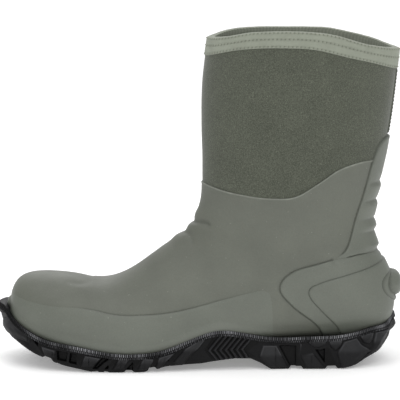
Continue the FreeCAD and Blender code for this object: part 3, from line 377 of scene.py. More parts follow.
def closed_solid(outer, inner, F, mat_in=0, mat_out=0, mat_edge=None):
    """A solid between two copies of one surface."""
    n = len(outer)
    faces = faces_of(F)
    mats = [mat_out] * len(faces)
    back = [tuple(i + n for i in reversed(f)) for f in faces]
    mats += [mat_in] * len(back)
    walls = [(b, a, a + n, b + n) for a, b in boundary(F)]
    mats += [mat_out if mat_edge is None else mat_edge] * len(walls)
    return np.vstack([outer, inner]), faces + back + walls, mats


def to_row(P):
    P = np.asarray(P, float)
    return (P - np.array([X0, Y0, 0.0])) / 1000.0


def make(name, V, faces, mats=None, painted_shade=None, wear_and_highlight=None, smooth=True, materials=()):
    me = bpy.data.meshes.new(name)
    me.from_pydata(to_row(V).tolist(), [], faces)
    me.validate(clean_customdata=False)
    me.update()
    for m in materials:
        me.materials.append(m)
    if mats is not None and len(mats) == len(me.polygons):
        me.polygons.foreach_set("material_index", np.array(mats, np.int32))
    if smooth:
        me.polygons.foreach_set("use_smooth", np.ones(len(me.polygons), bool))
    # the first attribute holds painted shade, which darkens; the second holds painted highlights mixed with wear, which
    # lighten
    for label, values in (("painted_shade", painted_shade), ("wear_and_highlight", wear_and_highlight)):
        at = me.attributes.new(label, "FLOAT", "POINT")
        c = np.zeros(len(me.vertices), np.float32)
        if values is not None:
            c[:len(values)] = np.clip(values, 0, 1)
        at.data.foreach_set("value", c)
    ob = bpy.data.objects.new(name, me)
    bpy.context.scene.collection.objects.link(ob)
    return ob


def outward(ob):
    """Turns the faces of a closed piece so that they look out."""
    import bmesh
    bm = bmesh.new()
    bm.from_mesh(ob.data)
    bmesh.ops.recalc_face_normals(bm, faces=bm.faces)
    bm.to_mesh(ob.data)
    bm.free()
    return ob


def sharp(ob, degrees=48):
    """Keeps the shading crisp at real edges."""
    me = ob.data
    me.set_sharp_from_angle(angle=math.radians(degrees))
    return ob


# ------------------------------------------------------------------ materials
def lin(c):
    return tuple(((v / 255) / 12.92 if v / 255 <= 0.04045 else ((v / 255 + 0.055) / 1.055) ** 2.4) for v in c) + (1.0,)


class Mat:
    """A procedural material put together from a few layers of noise and weave, in object space."""

    def __init__(self, name, rough, spec=0.5, sheen=0.0):
        self.m = bpy.data.materials.new(name)
        self.m.use_nodes = True
        self.t = self.m.node_tree
        self.b = self.t.nodes["Principled BSDF"]
        self.b.inputs["Specular IOR Level"].default_value = spec
        self.b.inputs["Roughness"].default_value = rough
        self.b.inputs["Sheen Weight"].default_value = sheen
        self.b.inputs["Sheen Roughness"].default_value = 0.5
        self.co = self.t.nodes.new("ShaderNodeTexCoord").outputs["Object"]
        self.heights = []

    def node(self, kind, **inputs):
        n = self.t.nodes.new(kind)
        for k, v in inputs.items():
            n.inputs[k.replace("_", " ")].default_value = v
        return n

    def link(self, a, b):
        self.t.links.new(a, b)

    def mapped(self, scale):
        n = self.t.nodes.new("ShaderNodeMapping")
        n.inputs["Scale"].default_value = scale
        self.link(self.co, n.inputs["Vector"])
        return n.outputs["Vector"]

    def noise(self, size_mm, detail=2.0, rough=0.5, stretch=(1, 1, 1)):
        n = self.node("ShaderNodeTexNoise", Scale=1.0, Detail=detail, Roughness=rough)
        s = 1000.0 / size_mm
        self.link(self.mapped(tuple(s * k for k in stretch)), n.inputs["Vector"])
        return n.outputs["Fac"]

    def cells(self, size_mm, feature="F1"):
        n = self.t.nodes.new("ShaderNodeTexVoronoi")
        n.feature = feature
        n.inputs["Scale"].default_value = 1.0
        s = 1000.0 / size_mm
        self.link(self.mapped((s, s, s)), n.inputs["Vector"])
        return n.outputs["Distance"]

    def math(self, op, a, b=None, clamp=False):
        n = self.t.nodes.new("ShaderNodeMath")
        n.operation, n.use_clamp = op, clamp
        for i, v in enumerate((a, b)):
            if v is None:
                continue
            if hasattr(v, "links"):
                self.link(v, n.inputs[i])
            else:
                n.inputs[i].default_value = v
        return n.outputs[0]

    def ramp(self, fac, lo, hi, c0, c1):
        n = self.t.nodes.new("ShaderNodeValToRGB")
        n.color_ramp.elements[0].position, n.color_ramp.elements[1].position = lo, hi
        n.color_ramp.elements[0].color, n.color_ramp.elements[1].color = c0, c1
        self.link(fac, n.inputs["Fac"])
        return n.outputs["Color"]

    def mix(self, fac, a, b, mode="MIX"):
        n = self.t.nodes.new("ShaderNodeMix")
        n.data_type, n.blend_type = "RGBA", mode
        fi, ai, bi = n.inputs[0], n.inputs[6], n.inputs[7]
        for sock, v in ((fi, fac), (ai, a), (bi, b)):
            if hasattr(v, "links"):
                self.link(v, sock)
            else:
                sock.default_value = v
        return n.outputs[2]

    def painted_shade(self):
        # the attribute of painted shade
        n = self.t.nodes.new("ShaderNodeAttribute")
        n.attribute_name = "painted_shade"
        return n.outputs["Fac"]

    def wear_and_highlight_mask(self):
        # the attribute of painted highlights mixed with wear
        n = self.t.nodes.new("ShaderNodeAttribute")
        n.attribute_name = "wear_and_highlight"
        return n.outputs["Fac"]

    def wave(self, size_mm, direction="X", distortion=0.0):
        n = self.t.nodes.new("ShaderNodeTexWave")
        n.bands_direction = direction
        n.inputs["Scale"].default_value = 1.0
        n.inputs["Distortion"].default_value = distortion
        s = 314.16 / size_mm
        self.link(self.mapped((s, s, s)), n.inputs["Vector"])
        return n.outputs["Fac"]

    def finish(self, colour, rough=None, bumps=()):
        self.link(colour, self.b.inputs["Base Color"])
        if rough is not None:
            self.link(rough, self.b.inputs["Roughness"])
        last = None
        for height, mm in bumps:
            n = self.t.nodes.new("ShaderNodeBump")
            n.inputs["Strength"].default_value = 1.0
            n.inputs["Distance"].default_value = mm / 1000.0
            self.link(height, n.inputs["Height"])
            if last is not None:
                self.link(last, n.inputs["Normal"])
            last = n.outputs["Normal"]
        if last is not None:
            self.link(last, self.b.inputs["Normal"])
        return self.m


def rubber(name, rgb, dark, rough=0.56, spec=0.42, blotch=0.13, grain=0.05, light=(168, 172, 162)):
    """Moulded rubber: a faint cloudy bloom, fine pitting, a touch of scuffing, painted shade darkening its creases, and
    painted highlights mixed with wear lightening its edges.
    """
    k = Mat(name, rough, spec)
    base = lin(rgb)
    pale = tuple(min(1, v * (1 + blotch)) for v in base[:3]) + (1,)
    deep = tuple(v * (1 - blotch) for v in base[:3]) + (1,)
    c = k.ramp(k.noise(34, 3.0, 0.55), 0.35, 0.65, deep, pale)
    fine = k.ramp(k.noise(1.1, 3.0, 0.65), 0.30, 0.70, (0.93, 0.93, 0.93, 1), (1.05, 1.05, 1.05, 1))
    c = k.mix(1.0, c, fine, "MULTIPLY")
    scuff = k.math("MULTIPLY", k.ramp_value(k.noise(9, 4.0, 0.7, (0.45, 1, 1.6)), 0.60, 0.78), 0.10)
    c = k.mix(scuff, c, tuple(min(1, v * 1.5) for v in base[:3]) + (1,))
    speck = k.math("MULTIPLY", k.ramp_value(k.noise(1.6, 1.0, 0.4), 0.755, 0.80), 0.45)
    c = k.mix(speck, c, tuple(min(1, v * 2.0 + 0.02) for v in base[:3]) + (1,))
    # painted shade in creases and hollows, then painted highlights mixed with wear
    c = k.mix(k.math("MULTIPLY", k.painted_shade(), 0.9, True), c, lin(dark))
    c = k.mix(k.math("MULTIPLY", k.wear_and_highlight_mask(), 0.9, True), c, lin(light))
    r = k.math("ADD", k.math("MULTIPLY", k.noise(13, 3.0), 0.16), rough - 0.08)
    return k.finish(c, r, ((k.noise(0.9, 2.0, 0.6), grain), (k.noise(4.2, 2.0, 0.5), 0.10)))


def ramp_value(self, fac, lo, hi):
    n = self.t.nodes.new("ShaderNodeMapRange")
    n.inputs["From Min"].default_value, n.inputs["From Max"].default_value = lo, hi
    n.clamp = True
    self.link(fac, n.inputs["Value"])
    return n.outputs["Result"]


Mat.ramp_value = ramp_value


def knit(name, rgb, fleck, size=0.62, rough=0.88, depth=0.12, sheen=0.25, dark=(48, 50, 44)):
    """Stretch knit on foam: fine loops in rows, flecked where the light catches them."""
    k = Mat(name, rough, 0.25, sheen)
    base, fl = lin(rgb), lin(fleck)
    loops = k.cells(size)
    rows = k.wave(size * 1.35, "Z", 2.2)
    yarn = k.math("MULTIPLY", k.math("SUBTRACT", 1.0, loops, True), k.math("ADD", k.math("MULTIPLY", rows, 0.35), 0.65))
    c = k.ramp(yarn, 0.25, 0.80, tuple(v * 0.60 for v in base[:3]) + (1,), tuple(min(1, v * 1.24) for v in base[:3]) + (1,))
    c = k.mix(k.math("MULTIPLY", k.ramp_value(k.noise(0.95, 2.0, 0.7), 0.56, 0.70), 0.30), c, fl)
    c = k.mix(k.math("MULTIPLY", k.ramp_value(k.noise(1.15, 2.0, 0.7, (1, 1, 0.7)), 0.54, 0.68), 0.50), c, tuple(v * 0.50 for v in base[:3]) + (1,))
    cloud = k.ramp(k.noise(26, 3.0, 0.5), 0.32, 0.68, (0.93, 0.93, 0.93, 1), (1.06, 1.06, 1.06, 1))
    c = k.mix(1.0, c, cloud, "MULTIPLY")
    # painted shade where the attribute asks for it
    c = k.mix(k.math("MULTIPLY", k.painted_shade(), 0.8, True), c, lin(dark))
    return k.finish(c, None, ((yarn, depth), (k.noise(2.2, 2.0), 0.08)))


def woven(name, rgb, dark, size=0.9, rough=0.8, depth=0.14):
    """Woven tape: ribs across and along, slightly uneven."""
    k = Mat(name, rough, 0.3, 0.15)
    base = lin(rgb)
    a, b = k.wave(size, "X", 0.6), k.wave(size * 0.8, "Z", 0.6)
    w = k.math("MULTIPLY", k.math("ADD", a, 0.25), k.math("ADD", b, 0.35))
    c = k.ramp(w, 0.10, 1.0, tuple(v * 0.86 for v in base[:3]) + (1,), tuple(min(1, v * 1.10) for v in base[:3]) + (1,))
    cloud = k.ramp(k.noise(11, 3.0), 0.3, 0.7, (0.93, 0.93, 0.93, 1), (1.05, 1.05, 1.05, 1))
    c = k.mix(1.0, c, cloud, "MULTIPLY")
    # painted shade in the stitch rows, along the lower edge and on the inner face, from the attribute
    c = k.mix(k.math("MULTIPLY", k.painted_shade(), 0.85, True), c, lin(dark))
    return k.finish(c, None, ((w, depth), (k.noise(1.5, 2.0), 0.06)))


M = {}
M["shell_rubber"] = rubber("shell_rubber_olive", (98, 101, 92), (62, 64, 57), 0.55, 0.40, 0.06, 0.030)
M["overlay_rubber"] = rubber("overlay_rubber_olive", (101, 105, 96), (62, 65, 58), 0.50, 0.45, 0.05, 0.030)
M["outsole_rubber"] = rubber("outsole_rubber_black", (15, 15, 16), (4, 4, 4), 0.50, 0.14, 0.22, 0.070, (176, 177, 181))
M["arch_rubber"] = rubber("arch_rubber_olive", (72, 76, 66), (30, 31, 27), 0.55, 0.40, 0.10, 0.050)
M["neoprene"] = knit("neoprene_knit", (88, 92, 80), (140, 143, 128), 0.75)
M["lining"] = knit("lining_jersey", (126, 130, 117), (158, 160, 148), 0.85, 0.92, 0.10, 0.35, (70, 72, 64))
M["fleece"] = knit("lining_fleece", (104, 106, 98), (140, 142, 134), 1.5, 0.96, 0.30, 0.5, (50, 52, 46))
M["binding_tape"] = woven("binding_tape_sage", (146, 151, 137), (92, 95, 84))
M["seam_tape"] = woven("seam_tape_olive", (84, 88, 77), (44, 46, 40), 0.8, 0.82, 0.12)
M["thread"] = woven("thread_sage", (148, 153, 138), (96, 99, 88), 0.45, 0.75, 0.08)
M["thread_dark"] = woven("thread_dark", (52, 54, 48), (30, 31, 28), 0.45, 0.75, 0.08)


def foam(name, rgb, dark, size=1.6):
    k = Mat(name, 0.85, 0.3)
    base = lin(rgb)
    cell = k.cells(size)
    c = k.ramp(cell, 0.15, 0.75, tuple(v * 0.8 for v in base[:3]) + (1,), tuple(min(1, v * 1.1) for v in base[:3]) + (1,))
    # painted shade in the quilting grooves, from the attribute
    c = k.mix(k.math("MULTIPLY", k.painted_shade(), 0.8, True), c, lin(dark))
    return k.finish(c, None, ((cell, 0.25), (k.noise(6.0, 2.0), 0.15)))


M["midsole_foam"] = foam("midsole_foam_grey", (150, 150, 145), (90, 90, 86))
M["footbed_foam"] = foam("footbed_fleece_grey", (96, 99, 92), (52, 54, 49), 1.2)


def steel():
    k = Mat("spring_steel_brushed", 0.32, 0.5)
    k.b.inputs["Metallic"].default_value = 1.0
    streak = k.noise(0.6, 2.0, 0.5, (0.04, 1, 1))
    c = k.ramp(streak, 0.3, 0.7, lin((120, 122, 126)), lin((176, 178, 182)))
    r = k.math("ADD", k.math("MULTIPLY", streak, 0.2), 0.24)
    return k.finish(c, r, ((streak, 0.02),))


def board():
    k = Mat("fibre_board_brown", 0.9, 0.2)
    f = k.noise(1.6, 5.0, 0.7, (0.3, 1, 1))
    c = k.ramp(f, 0.3, 0.7, lin((120, 92, 62)), lin((168, 138, 100)))
    return k.finish(c, None, ((f, 0.12),))


M["spring_steel"] = steel()
M["fibre_board"] = board()

# ------------------------------------------------------------------ the surface every upper layer is built on
S_ROWS = []
for i in range(len(ALONG) - 1):
    d = ALONG[i + 1] - ALONG[i]
    S_ROWS.extend(np.linspace(ALONG[i], ALONG[i + 1], max(2, int(math.ceil(d / 1.15))), endpoint=False))
S_ROWS = np.array(S_ROWS + [ALONG[-1]])
GRID = sections(S_ROWS)
NORM = grid_normals(GRID)
NR, NCOL = GRID.shape[:2]

# the rounded nose in front of the first section
nose, first, centre = [], GRID[0], GRID[0].mean(axis=0)
ahead = np.array([-1.0, 0.0, -0.15])
for a in np.linspace(82, 12, 6):
    r, h = math.sin(math.radians(a)), math.cos(math.radians(a))
    nose.append(centre + (first - centre) * r + ahead * 3.2 * h)
nose = np.array(nose[::-1])
GRID = np.concatenate([nose, GRID])
NR = len(GRID)
NORM = grid_normals(GRID)
NORM[0] = ahead / np.linalg.norm(ahead)
S_ALL = np.concatenate([np.full(len(nose), -1.0), S_ROWS])


def grid_faces(r0, r1):
    r = np.arange(r0, r1)[:, None]
    c = np.arange(NCOL)[None, :]
    c2 = (c + 1) % NCOL
    q = np.stack([r * NCOL + c, r * NCOL + c2, (r + 1) * NCOL + c2, (r + 1) * NCOL + c], axis=-1)
    return q.reshape(-1, 4)


BASE = np.concatenate([GRID.reshape(-1, 3), NORM.reshape(-1, 3), np.repeat(S_ALL, NCOL)[:, None]], axis=1)
FACES = {4: grid_faces(0, NR - 1)}
FACES[NCOL] = np.array([np.arange(NCOL)[::-1]])       # the tip of the nose


def sub(A, F, lo_x=-999, hi_x=999, lo_z=-999, hi_z=999):
    """The faces near a region, to keep the work small."""
    x, z = A[:, 0], A[:, 2]
    ok = (x >= lo_x) & (x <= hi_x) & (z >= lo_z) & (z <= hi_z)
    out = {k: v[ok[v].any(axis=1)] for k, v in F.items()}
    out = {k: v for k, v in out.items() if len(v)}
    used = np.unique(np.concatenate([v.ravel() for v in out.values()]))
    back = np.full(len(A), -1)
    back[used] = np.arange(len(used))
    return A[used], {k: back[v] for k, v in out.items()}


def patch(A, F, field, cuts, limit=0.0):
    """The part of a surface where field(A) > limit, also cut along the level lines in cuts."""
    for c in [limit] + list(cuts):
        A, F, f = split(A, F, field(A) - c)
        if c == limit:
            A, F, _ = keep(A, F, f)
    return A, F


def quarter(d, r):
    """The rise of a rounded edge, 0 at the edge to 1 at r from it."""
    t = np.clip(1 - d / r, 0, 1)
    return np.sqrt(np.clip(1 - t * t, 0, 1))


# ------------------------------------------------------------------ the outlines of the parts laid on the upper
rim = smooth_level(RIM)
shell_top = smooth_level(SHELL_TOP)
top_near, top_far = smooth_level(TOP_NEAR), smooth_level(TOP_FAR)
band_level = smooth_level(BAND_LOW)


def top_line(x, y):
    t = step01(y / 60.0 + 0.5)
    return top_near(x) * (1 - t) + top_far(x) * t


def band_low(x, y):
    return band_level(x)


L_FRONT = smooth_line(PANEL_FRONT)
L_PTOP = smooth_line(PANEL_TOP)
PANEL = [tuple(p) for p in L_FRONT[::-1]] + [tuple(p) for p in L_PTOP[1:]] + [(195, 182), (195, 90.6), (136, 90.3), (124, 89.9), (114, 88.2)]
L_VOUT = smooth_line(V_OUT)
L_VIN = smooth_line(V_IN)
OVERLAY = [tuple(p) for p in L_VOUT] + [(106, 8), (195, 8), (195, 90.1), (136, 89.8), (124, 89.4), (114, 87.7)]
CUP = [tuple(p) for p in L_VIN] + [(118, 8), (195, 8)]
L_REDGE = smooth_line(R_EDGE, 1.2)
RAND = [tuple(p) for p in L_REDGE] + [(58, 0), (-200, 0)]


def xz(A):
    return A[:, 0], A[:, 2]


def f_shell(A):
    return shell_top(A[:, 0]) - A[:, 2]


def f_panel(A):
    return signed(A[:, 0], A[:, 2], PANEL)


def f_overlay(A):
    return signed(A[:, 0], A[:, 2], OVERLAY)


def f_cup(A):
    return signed(A[:, 0], A[:, 2], CUP)


def f_rand(A):
    return signed(A[:, 0], A[:, 2], RAND)


def w_rand(A):
    x, z = A[:, 0], A[:, 2]
    low = np.interp(x, (-150, -128, -104, -92, -76, -10, 16, 36, 52), (0.0, 0.03, 0.10, 0.35, 0.75, 0.85, 0.5, 0.15, 0.0))
    return low * (1 - step01((x - 44) / 6.0))


def w_seam(A):
    """The join of the heel overlay and the panel above it shows only for a short way."""
    x, z = A[:, 0], A[:, 2]
    seam = np.interp(x, (100, 114, 124, 136, 190), (86.4, 87.9, 89.6, 90.0, 90.3))
    near = step01((4.5 - np.abs(z - seam)) / 3.0) * step01((x - 103) / 3.0)
    w = np.interp(x, (104, 115, 118, 128, 133, 142, 190), (0.04, 0.08, 0.8, 0.8, 0.25, 0.12, 0.12))
    return 1 - near * (1 - w)


VALLEYS = [   # line, depth, half width, how the depth fades along it
    (((-9, 111.0), (-4.8, 112.6), (0, 113.1), (4.2, 112.9), (6.5, 111.8)), 1.5, 1.9, (0.9, 1.0, 0.95)),
    (((-18, 104.0), (-13.6, 104.5), (-9.5, 103.9), (-7.1, 101.2), (-5.8, 97.0)), 1.1, 2.3, (1.0, 0.9, 0.4)),
    (((-28, 95.0), (-24, 95.9), (-20.6, 93.8), (-18.9, 91.0)), 0.45, 2.6, (1.0, 0.7, 0.1)),
    (((35.4, 107.3), (41, 110.2), (48.6, 115.2)), 0.35, 1.8, (0.1, 1.0, 0.1)),
    (((-104.5, 66.4), (-99, 65.4), (-93, 64.9), (-86.5, 65.2)), 0.8, 1.5, (0.4, 1.0, 0.5)),
]
RISES = [
    (((-9, 117.5), (-2, 119.0), (7, 118.6), (12, 116)), 0.75, 3.0, (1.0, 0.8, 0.1)),
    (((-14, 109.5), (-8, 109.0), (-2, 108.5), (4, 106.5)), 0.8, 3.2, (1.0, 0.9, 0.2)),
    (((-24, 101.0), (-17, 100.5), (-13, 98.5)), 0.55, 3.4, (1.0, 0.8, 0.1)),
    (((-132, 51.8), (-118.7, 51.4), (-105.4, 51.2), (-95.4, 49.7), (-86.5, 47.6)), 0.30, 2.2, (0.2, 1.0, 0.3)),
]


def lines_height(A, table):
    x, z = xz(A)
    out = np.zeros(len(A))
    for line, high, wide, fade in table:
        d, t = line_distance(x, z, smooth_line(line))
        f = np.interp(t, (0, 0.5, 1), fade)
        near = d < wide * 4
        out[near] += (high * f * np.exp(-(d / wide) ** 2))[near]
    return out


def upper_shape(A):
    """How far the rubber stands off the plain surface, and how much painted shade its creases and grooves get."""
    x, z = xz(A)
    vale = lines_height(A, VALLEYS)
    h = lines_height(A, RISES) - vale
    # painted shade in the valleys
    dark = np.clip(vale / 1.5, 0, 1) ** 1.6 * 0.40
    # the soft roll of the rubber over the ankle and down the shaft
    P = A[:, :3]
    h = h + 0.35 * NOISE(P, 46.0) + 0.12 * NOISE(P, 17.0)
    # the rubber fills out where it meets the sole's rim
    h = h + 2.5 * step01((rim(x) + 7.0 - z) / 8.0) * step01((x + 155.0) / 14.0)
    # a fine groove just outside every laid-on part, darkened with painted shade
    for f, deep, w in ((f_rand, 0.30, w_rand), (f_overlay, 0.38, w_seam), (f_panel, 0.38, w_seam)):
        d = -f(A)
        g = np.exp(-((d - 0.40) / 0.34) ** 2) * (d > -1.5) * w(A)
        h = h - deep * g
        dark = np.maximum(dark, g * 0.75)
    # the lip along the top of the rubber
    e = f_shell(A)
    h = h + 0.22 * np.exp(-((e - 0.9) / 0.7) ** 2) - 0.06 * np.exp(-((e - 2.6) / 0.9) ** 2)
    return h, dark


def edge_round(e, r=0.5, deep=0.45):
    return -deep * (1 - quarter(np.clip(e, 0, None), r))


PIECES = {}


def flex(ob):
    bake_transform(ob)
    return ob


# ------------------------------------------------------------------ 1 the moulded rubber upper
A, F = sub(BASE, FACES, hi_z=172)
A, F = patch(A, F, f_shell, (0.35, 0.8, 1.6))
for fld in (f_rand, f_overlay, f_panel):
    A, F, _ = split(A, F, fld(A) + 0.45)
h, dark = upper_shape(A)
N = A[:, 3:6]
e = f_shell(A)
P = A[:, :3]
outer = P + N * (h + edge_round(e))[:, None]
st = np.interp(A[:, 6], ALONG, np.arange(len(ALONG)))
side_share = np.clip(N[:, 1] ** 2, 0, 1)
ends = np.where(N[:, 0] < 0, np.interp(st, (17.2, 18.8), (2.2, 0.75)), np.interp(st, (19, 23.2), (2.2, 0.75)))
wall = side_share * np.interp(st, (18.4, 20.4), (2.2, 0.75)) + (1 - side_share) * ends
inner = P - N * np.maximum(wall + edge_round(e, 0.5, 0.1), wall * 0.9)[:, None]
V, faces, mats = closed_solid(outer, inner, F)
# a painted highlight along the rubber's top edge, broken up by noise
lip = np.exp(-((e - 0.45) / 0.40) ** 2) * (0.30 + 0.30 * np.clip(NOISE(P, 3.0) + NOISE(P, 9.0), 0, 1))
ob = make("rubber_upper", V, faces, painted_shade=np.concatenate([dark, dark * 0]), wear_and_highlight=np.concatenate([lip, lip * 0]), materials=[M["shell_rubber"]])
sharp(outward(ob), 55)
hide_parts("foot_shell", "ankle_bellows", "shaft_shell")
flex(ob)
PIECES["rubber_upper"] = ob


def laid_on(name, field, height, radius, box, node, material, below=-0.35, lift=0.12, extra=None, extra_field=None, cuts=None, floor=0.0, weight=None, wide=13.0, rise=None):
    """A moulded piece laid on the upper, with rounded edges that fade into the upper where weight is small."""
    A, F = sub(BASE, FACES, *box)
    if extra_field is not None:
        A, F = patch(A, F, extra_field, ())
    A, F = patch(A, F, field, cuts or (0.12 * radius, 0.4 * radius, radius, radius * 1.6))
    d = field(A)
    N, P = A[:, 3:6], A[:, :3]
    follow = lines_height(A, RISES) - lines_height(A, VALLEYS) + 0.35 * NOISE(P, 46.0) + 0.12 * NOISE(P, 17.0)
    follow = follow + 2.5 * step01((rim(A[:, 0]) + 7.0 - A[:, 2]) / 8.0) * step01((A[:, 0] + 155.0) / 14.0)
    w = np.ones(len(A)) if weight is None else weight(A)
    high = height * (np.ones(len(A)) if rise is None else rise(A))
    up = 0.05 + (lift - 0.05) * w + high * (w * quarter(d, radius) + (1 - w) * step01(d / wide))
    # painted shade along the foot of the piece's edge
    dark = np.exp(-(d / 0.35) ** 2) * 0.35 * w
    if extra is not None:
        more, shade = extra(A, d)
        up = up + more
        dark = np.maximum(dark, shade)
    outer = P + N * (follow + up + floor)[:, None]
    inner = P + N * (np.minimum(follow, 0.5) + below + floor)[:, None]
    V, faces, mats = closed_solid(outer, inner, F)
    ob = make(name, V, faces, painted_shade=np.concatenate([dark, dark * 0]), materials=[material])
    sharp(outward(ob), 60)
    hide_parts(node)
    PIECES[name] = ob
    return ob


def above_sole(A):
    return A[:, 2] - (rim(A[:, 0]) - 9.0)


# ------------------------------------------------------------------ 2 to 5 the rand, the heel parts and the flex panel
ob = laid_on("toe_rand", f_rand, 1.15, 2.4, (-999, 66, -999, 82), "toe_rand", M["overlay_rubber"], extra_field=above_sole,
             weight=w_rand, wide=24.0, rise=lambda A: np.interp(A[:, 0], (-150, -95, -72), (0.35, 0.5, 1.0)))
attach(ob, "foot")
ob = laid_on("heel_overlay", f_overlay, 1.15, 1.7, (56, 999, 5, 96), "heel_overlay", M["overlay_rubber"], extra_field=above_sole, weight=w_seam)
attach(ob, "foot")


def cup_extra(A, d):
    fade = step01((168.0 - A[:, 0]) / 30.0)
    # painted shade along the raised step at the cup's edge, fading towards the back
    return 1.15 + 0 * d, 0.75 * np.exp(-(d / 0.7) ** 2) * fade


ob = laid_on("heel_cup_panel", f_cup, 1.45, 2.4, (78, 999, 5, 92), "heel_cup_panel", M["overlay_rubber"], below=0.5, extra=cup_extra, extra_field=above_sole)
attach(ob, "foot")

SCALLOP = np.array([(80, 0.6), (88, 0.9), (90.5, 0.35), (91.6, 1.5), (93.3, 2.5), (98, 2.0), (103.0, 1.2), (105.9, 0.2), (107.0, 1.5), (109.5, 2.5), (113, 1.6),
                    (116, 0.15), (117.4, 1.2), (122, 2.0), (126.5, 2.5), (129, 1.9), (130.6, 0.35), (132.2, 1.4), (136, 2.1), (141.1, 2.7), (143.6, 2.2),
                    (145.1, 0.7), (147.0, 1.1), (152, 1.3), (165, 1.2), (176, 1.0), (182, 0.8)])


def panel_extra(A, d):
    x, z, y = A[:, 0], A[:, 2], A[:, 1]
    zz = z + 0.0 * y
    rib = np.interp(zz, SCALLOP[:, 0], SCALLOP[:, 1])
    rib = 0.5 * rib + 0.25 * (np.interp(zz - 0.5, SCALLOP[:, 0], SCALLOP[:, 1]) + np.interp(zz + 0.5, SCALLOP[:, 0], SCALLOP[:, 1]))
    w = step01((30.0 - np.abs(y)) / 16.0) * step01(d / 3.5)
    # painted shade in the valleys between the ribs
    shade = step01((0.9 - rib) / 0.9) * w * 0.45
    return (rib - 1.1) * 1.15 * w, shade


ob = laid_on("back_flex_panel", f_panel, 1.15, 1.6, (98, 999, 82, 190), "back_flex_panel", M["overlay_rubber"], below=-0.9, extra=panel_extra, weight=w_seam)
flex(ob)

# ------------------------------------------------------------------ 6 the heel spur: a plate with a blunt lug to push against
def f_spur(A):
    y, z = A[:, 1], A[:, 2]
    a, b = np.abs(y) / 25.0, np.abs(z - 60.6 - 1.5 * (np.abs(y) / 20.0) ** 2) / 12.6
    r = (a ** 2.3 + b ** 2.3) ** (1 / 2.3)
    return (1 - r) * 12.0 - 200.0 * (A[:, 0] < 90)


def spur_extra(A, d):
    y, z = A[:, 1], A[:, 2]
    a, b = np.abs(y) / 17.0, np.abs(z - 62.0) / 9.6
    r = (a ** 2.2 + b ** 1.7) ** (1 / 2.0)
    lug = 6.4 * np.sqrt(np.clip(1 - np.clip(r, 0, 1) ** 2.6, 0, 1))
    ring = np.exp(-((r - 1.08) / 0.07) ** 2)
    knob = 1.2 * np.exp(-(((y) / 6.0) ** 2 + ((z - 50.6) / 1.5) ** 2))
    # painted shade in the ring groove round the lug and along the plate's edge
    edge_dark = 0.80 * np.exp(-((d - 0.1) / 0.75) ** 2)
    more_, shade_ = 1.9 + lug + knob - 0.7 * ring, 0.6 * ring
    return more_, np.maximum(shade_, edge_dark)


ob = laid_on("heel_spur", f_spur, 1.5, 1.8, (100, 999, 36, 90), "heel_spur", M["overlay_rubber"], below=1.2, extra=spur_extra)
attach(ob, "foot")


# ------------------------------------------------------------------ 7 and 8 the foam bootie and its lining
DEEP = 3.9
BOOT_OUT = ([(0, DEEP), (5, DEEP), (7, 2.6), (17.2, 2.6), (18.8, 0.85)],
            [(0, DEEP), (5, DEEP), (7, 2.6), (13, 2.6), (15, DEEP), (18, DEEP), (20.4, 0.85)],
            [(0, DEEP), (1, 4.5), (2, 5.2), (14, 5.2), (17, DEEP), (19, DEEP), (23.2, 0.85)])
GB = sections(S_ROWS, BOOT_OUT)


def shift(table, foot, shaft, bottom=None):
    out = []
    for k in np.arange(0, 25.01, 0.5):
        t = min(1.0, max(0.0, (k - 19) / 5.0))
        v = np.interp(k, [a for a, _ in table], [b for _, b in table])
        out.append((k, v + (bottom if bottom is not None and k <= 15 else foot + (shaft - foot) * t)))
    return out


def inner_grid(foot, shaft, bottom):
    return sections(S_ROWS, (shift(BOOT_OUT[0], foot, shaft), shift(BOOT_OUT[1], foot, shaft), shift(BOOT_OUT[2], foot, shaft, bottom)))


G_FOAM = inner_grid(4.7, 4.3, 4.2)
G_LIN0 = inner_grid(4.75, 4.35, 4.25)
G_LIN1 = inner_grid(5.5, 5.0, 5.0)


def sleeve(name, outer_grid, inner_grid_, top_off, materials, mats_inner, waves=0.0, wave_in=0.0):
    """A closed sleeve between two loops of the last, ending under the binding."""
    nr = len(S_ROWS)
    r = np.arange(0, nr - 1)[:, None]
    c = np.arange(NCOL)[None, :]
    q = np.stack([r * NCOL + c, r * NCOL + (c + 1) % NCOL, (r + 1) * NCOL + (c + 1) % NCOL, (r + 1) * NCOL + c], axis=-1).reshape(-1, 4)
    No, Ni = grid_normals(outer_grid), grid_normals(inner_grid_)
    A = np.concatenate([outer_grid.reshape(-1, 3), inner_grid_.reshape(-1, 3), No.reshape(-1, 3), Ni.reshape(-1, 3)], axis=1)
    F = {4: q, NCOL: np.array([np.arange(NCOL)[::-1]])}

    def top(A):
        return top_line(A[:, 0], A[:, 1]) + top_off - A[:, 2]
    A, F, f = split(A, F, top(A))
    A, F, f = keep(A, F, f)
    P, Q = A[:, 0:3].copy(), A[:, 3:6].copy()
    if waves:
        P += A[:, 6:9] * (waves * NOISE(P, 38.0) + 0.4 * waves * NOISE(P, 14.0))[:, None]
    if wave_in:
        Q += A[:, 9:12] * (wave_in * NOISE(Q, 24.0) + 0.6 * wave_in * NOISE(Q, 8.0))[:, None]
    V, faces, mats = closed_solid(P, Q, F, mat_in=mats_inner)
    ob = make(name, V, faces, mats=mats, materials=materials)
    return outward(ob)


def tidy(ob, slot, *nodes):
    sharp(ob, 60)
    if nodes:
        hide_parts(*nodes)
    PIECES[ob.name] = ob
    return ob


ob = sleeve("neoprene_bootie", GB, G_FOAM, 0.0, [M["neoprene"], M["fleece"]], 1, waves=0.22)
tidy(ob, "neoprene", "bootie_foot", "bootie_ankle", "neoprene_shaft")
flex(ob)
ob = sleeve("bootie_lining", G_LIN0, G_LIN1, 0.0, [M["lining"], M["lining"]], 1, wave_in=0.18)
tidy(ob, "lining")
flex(ob)

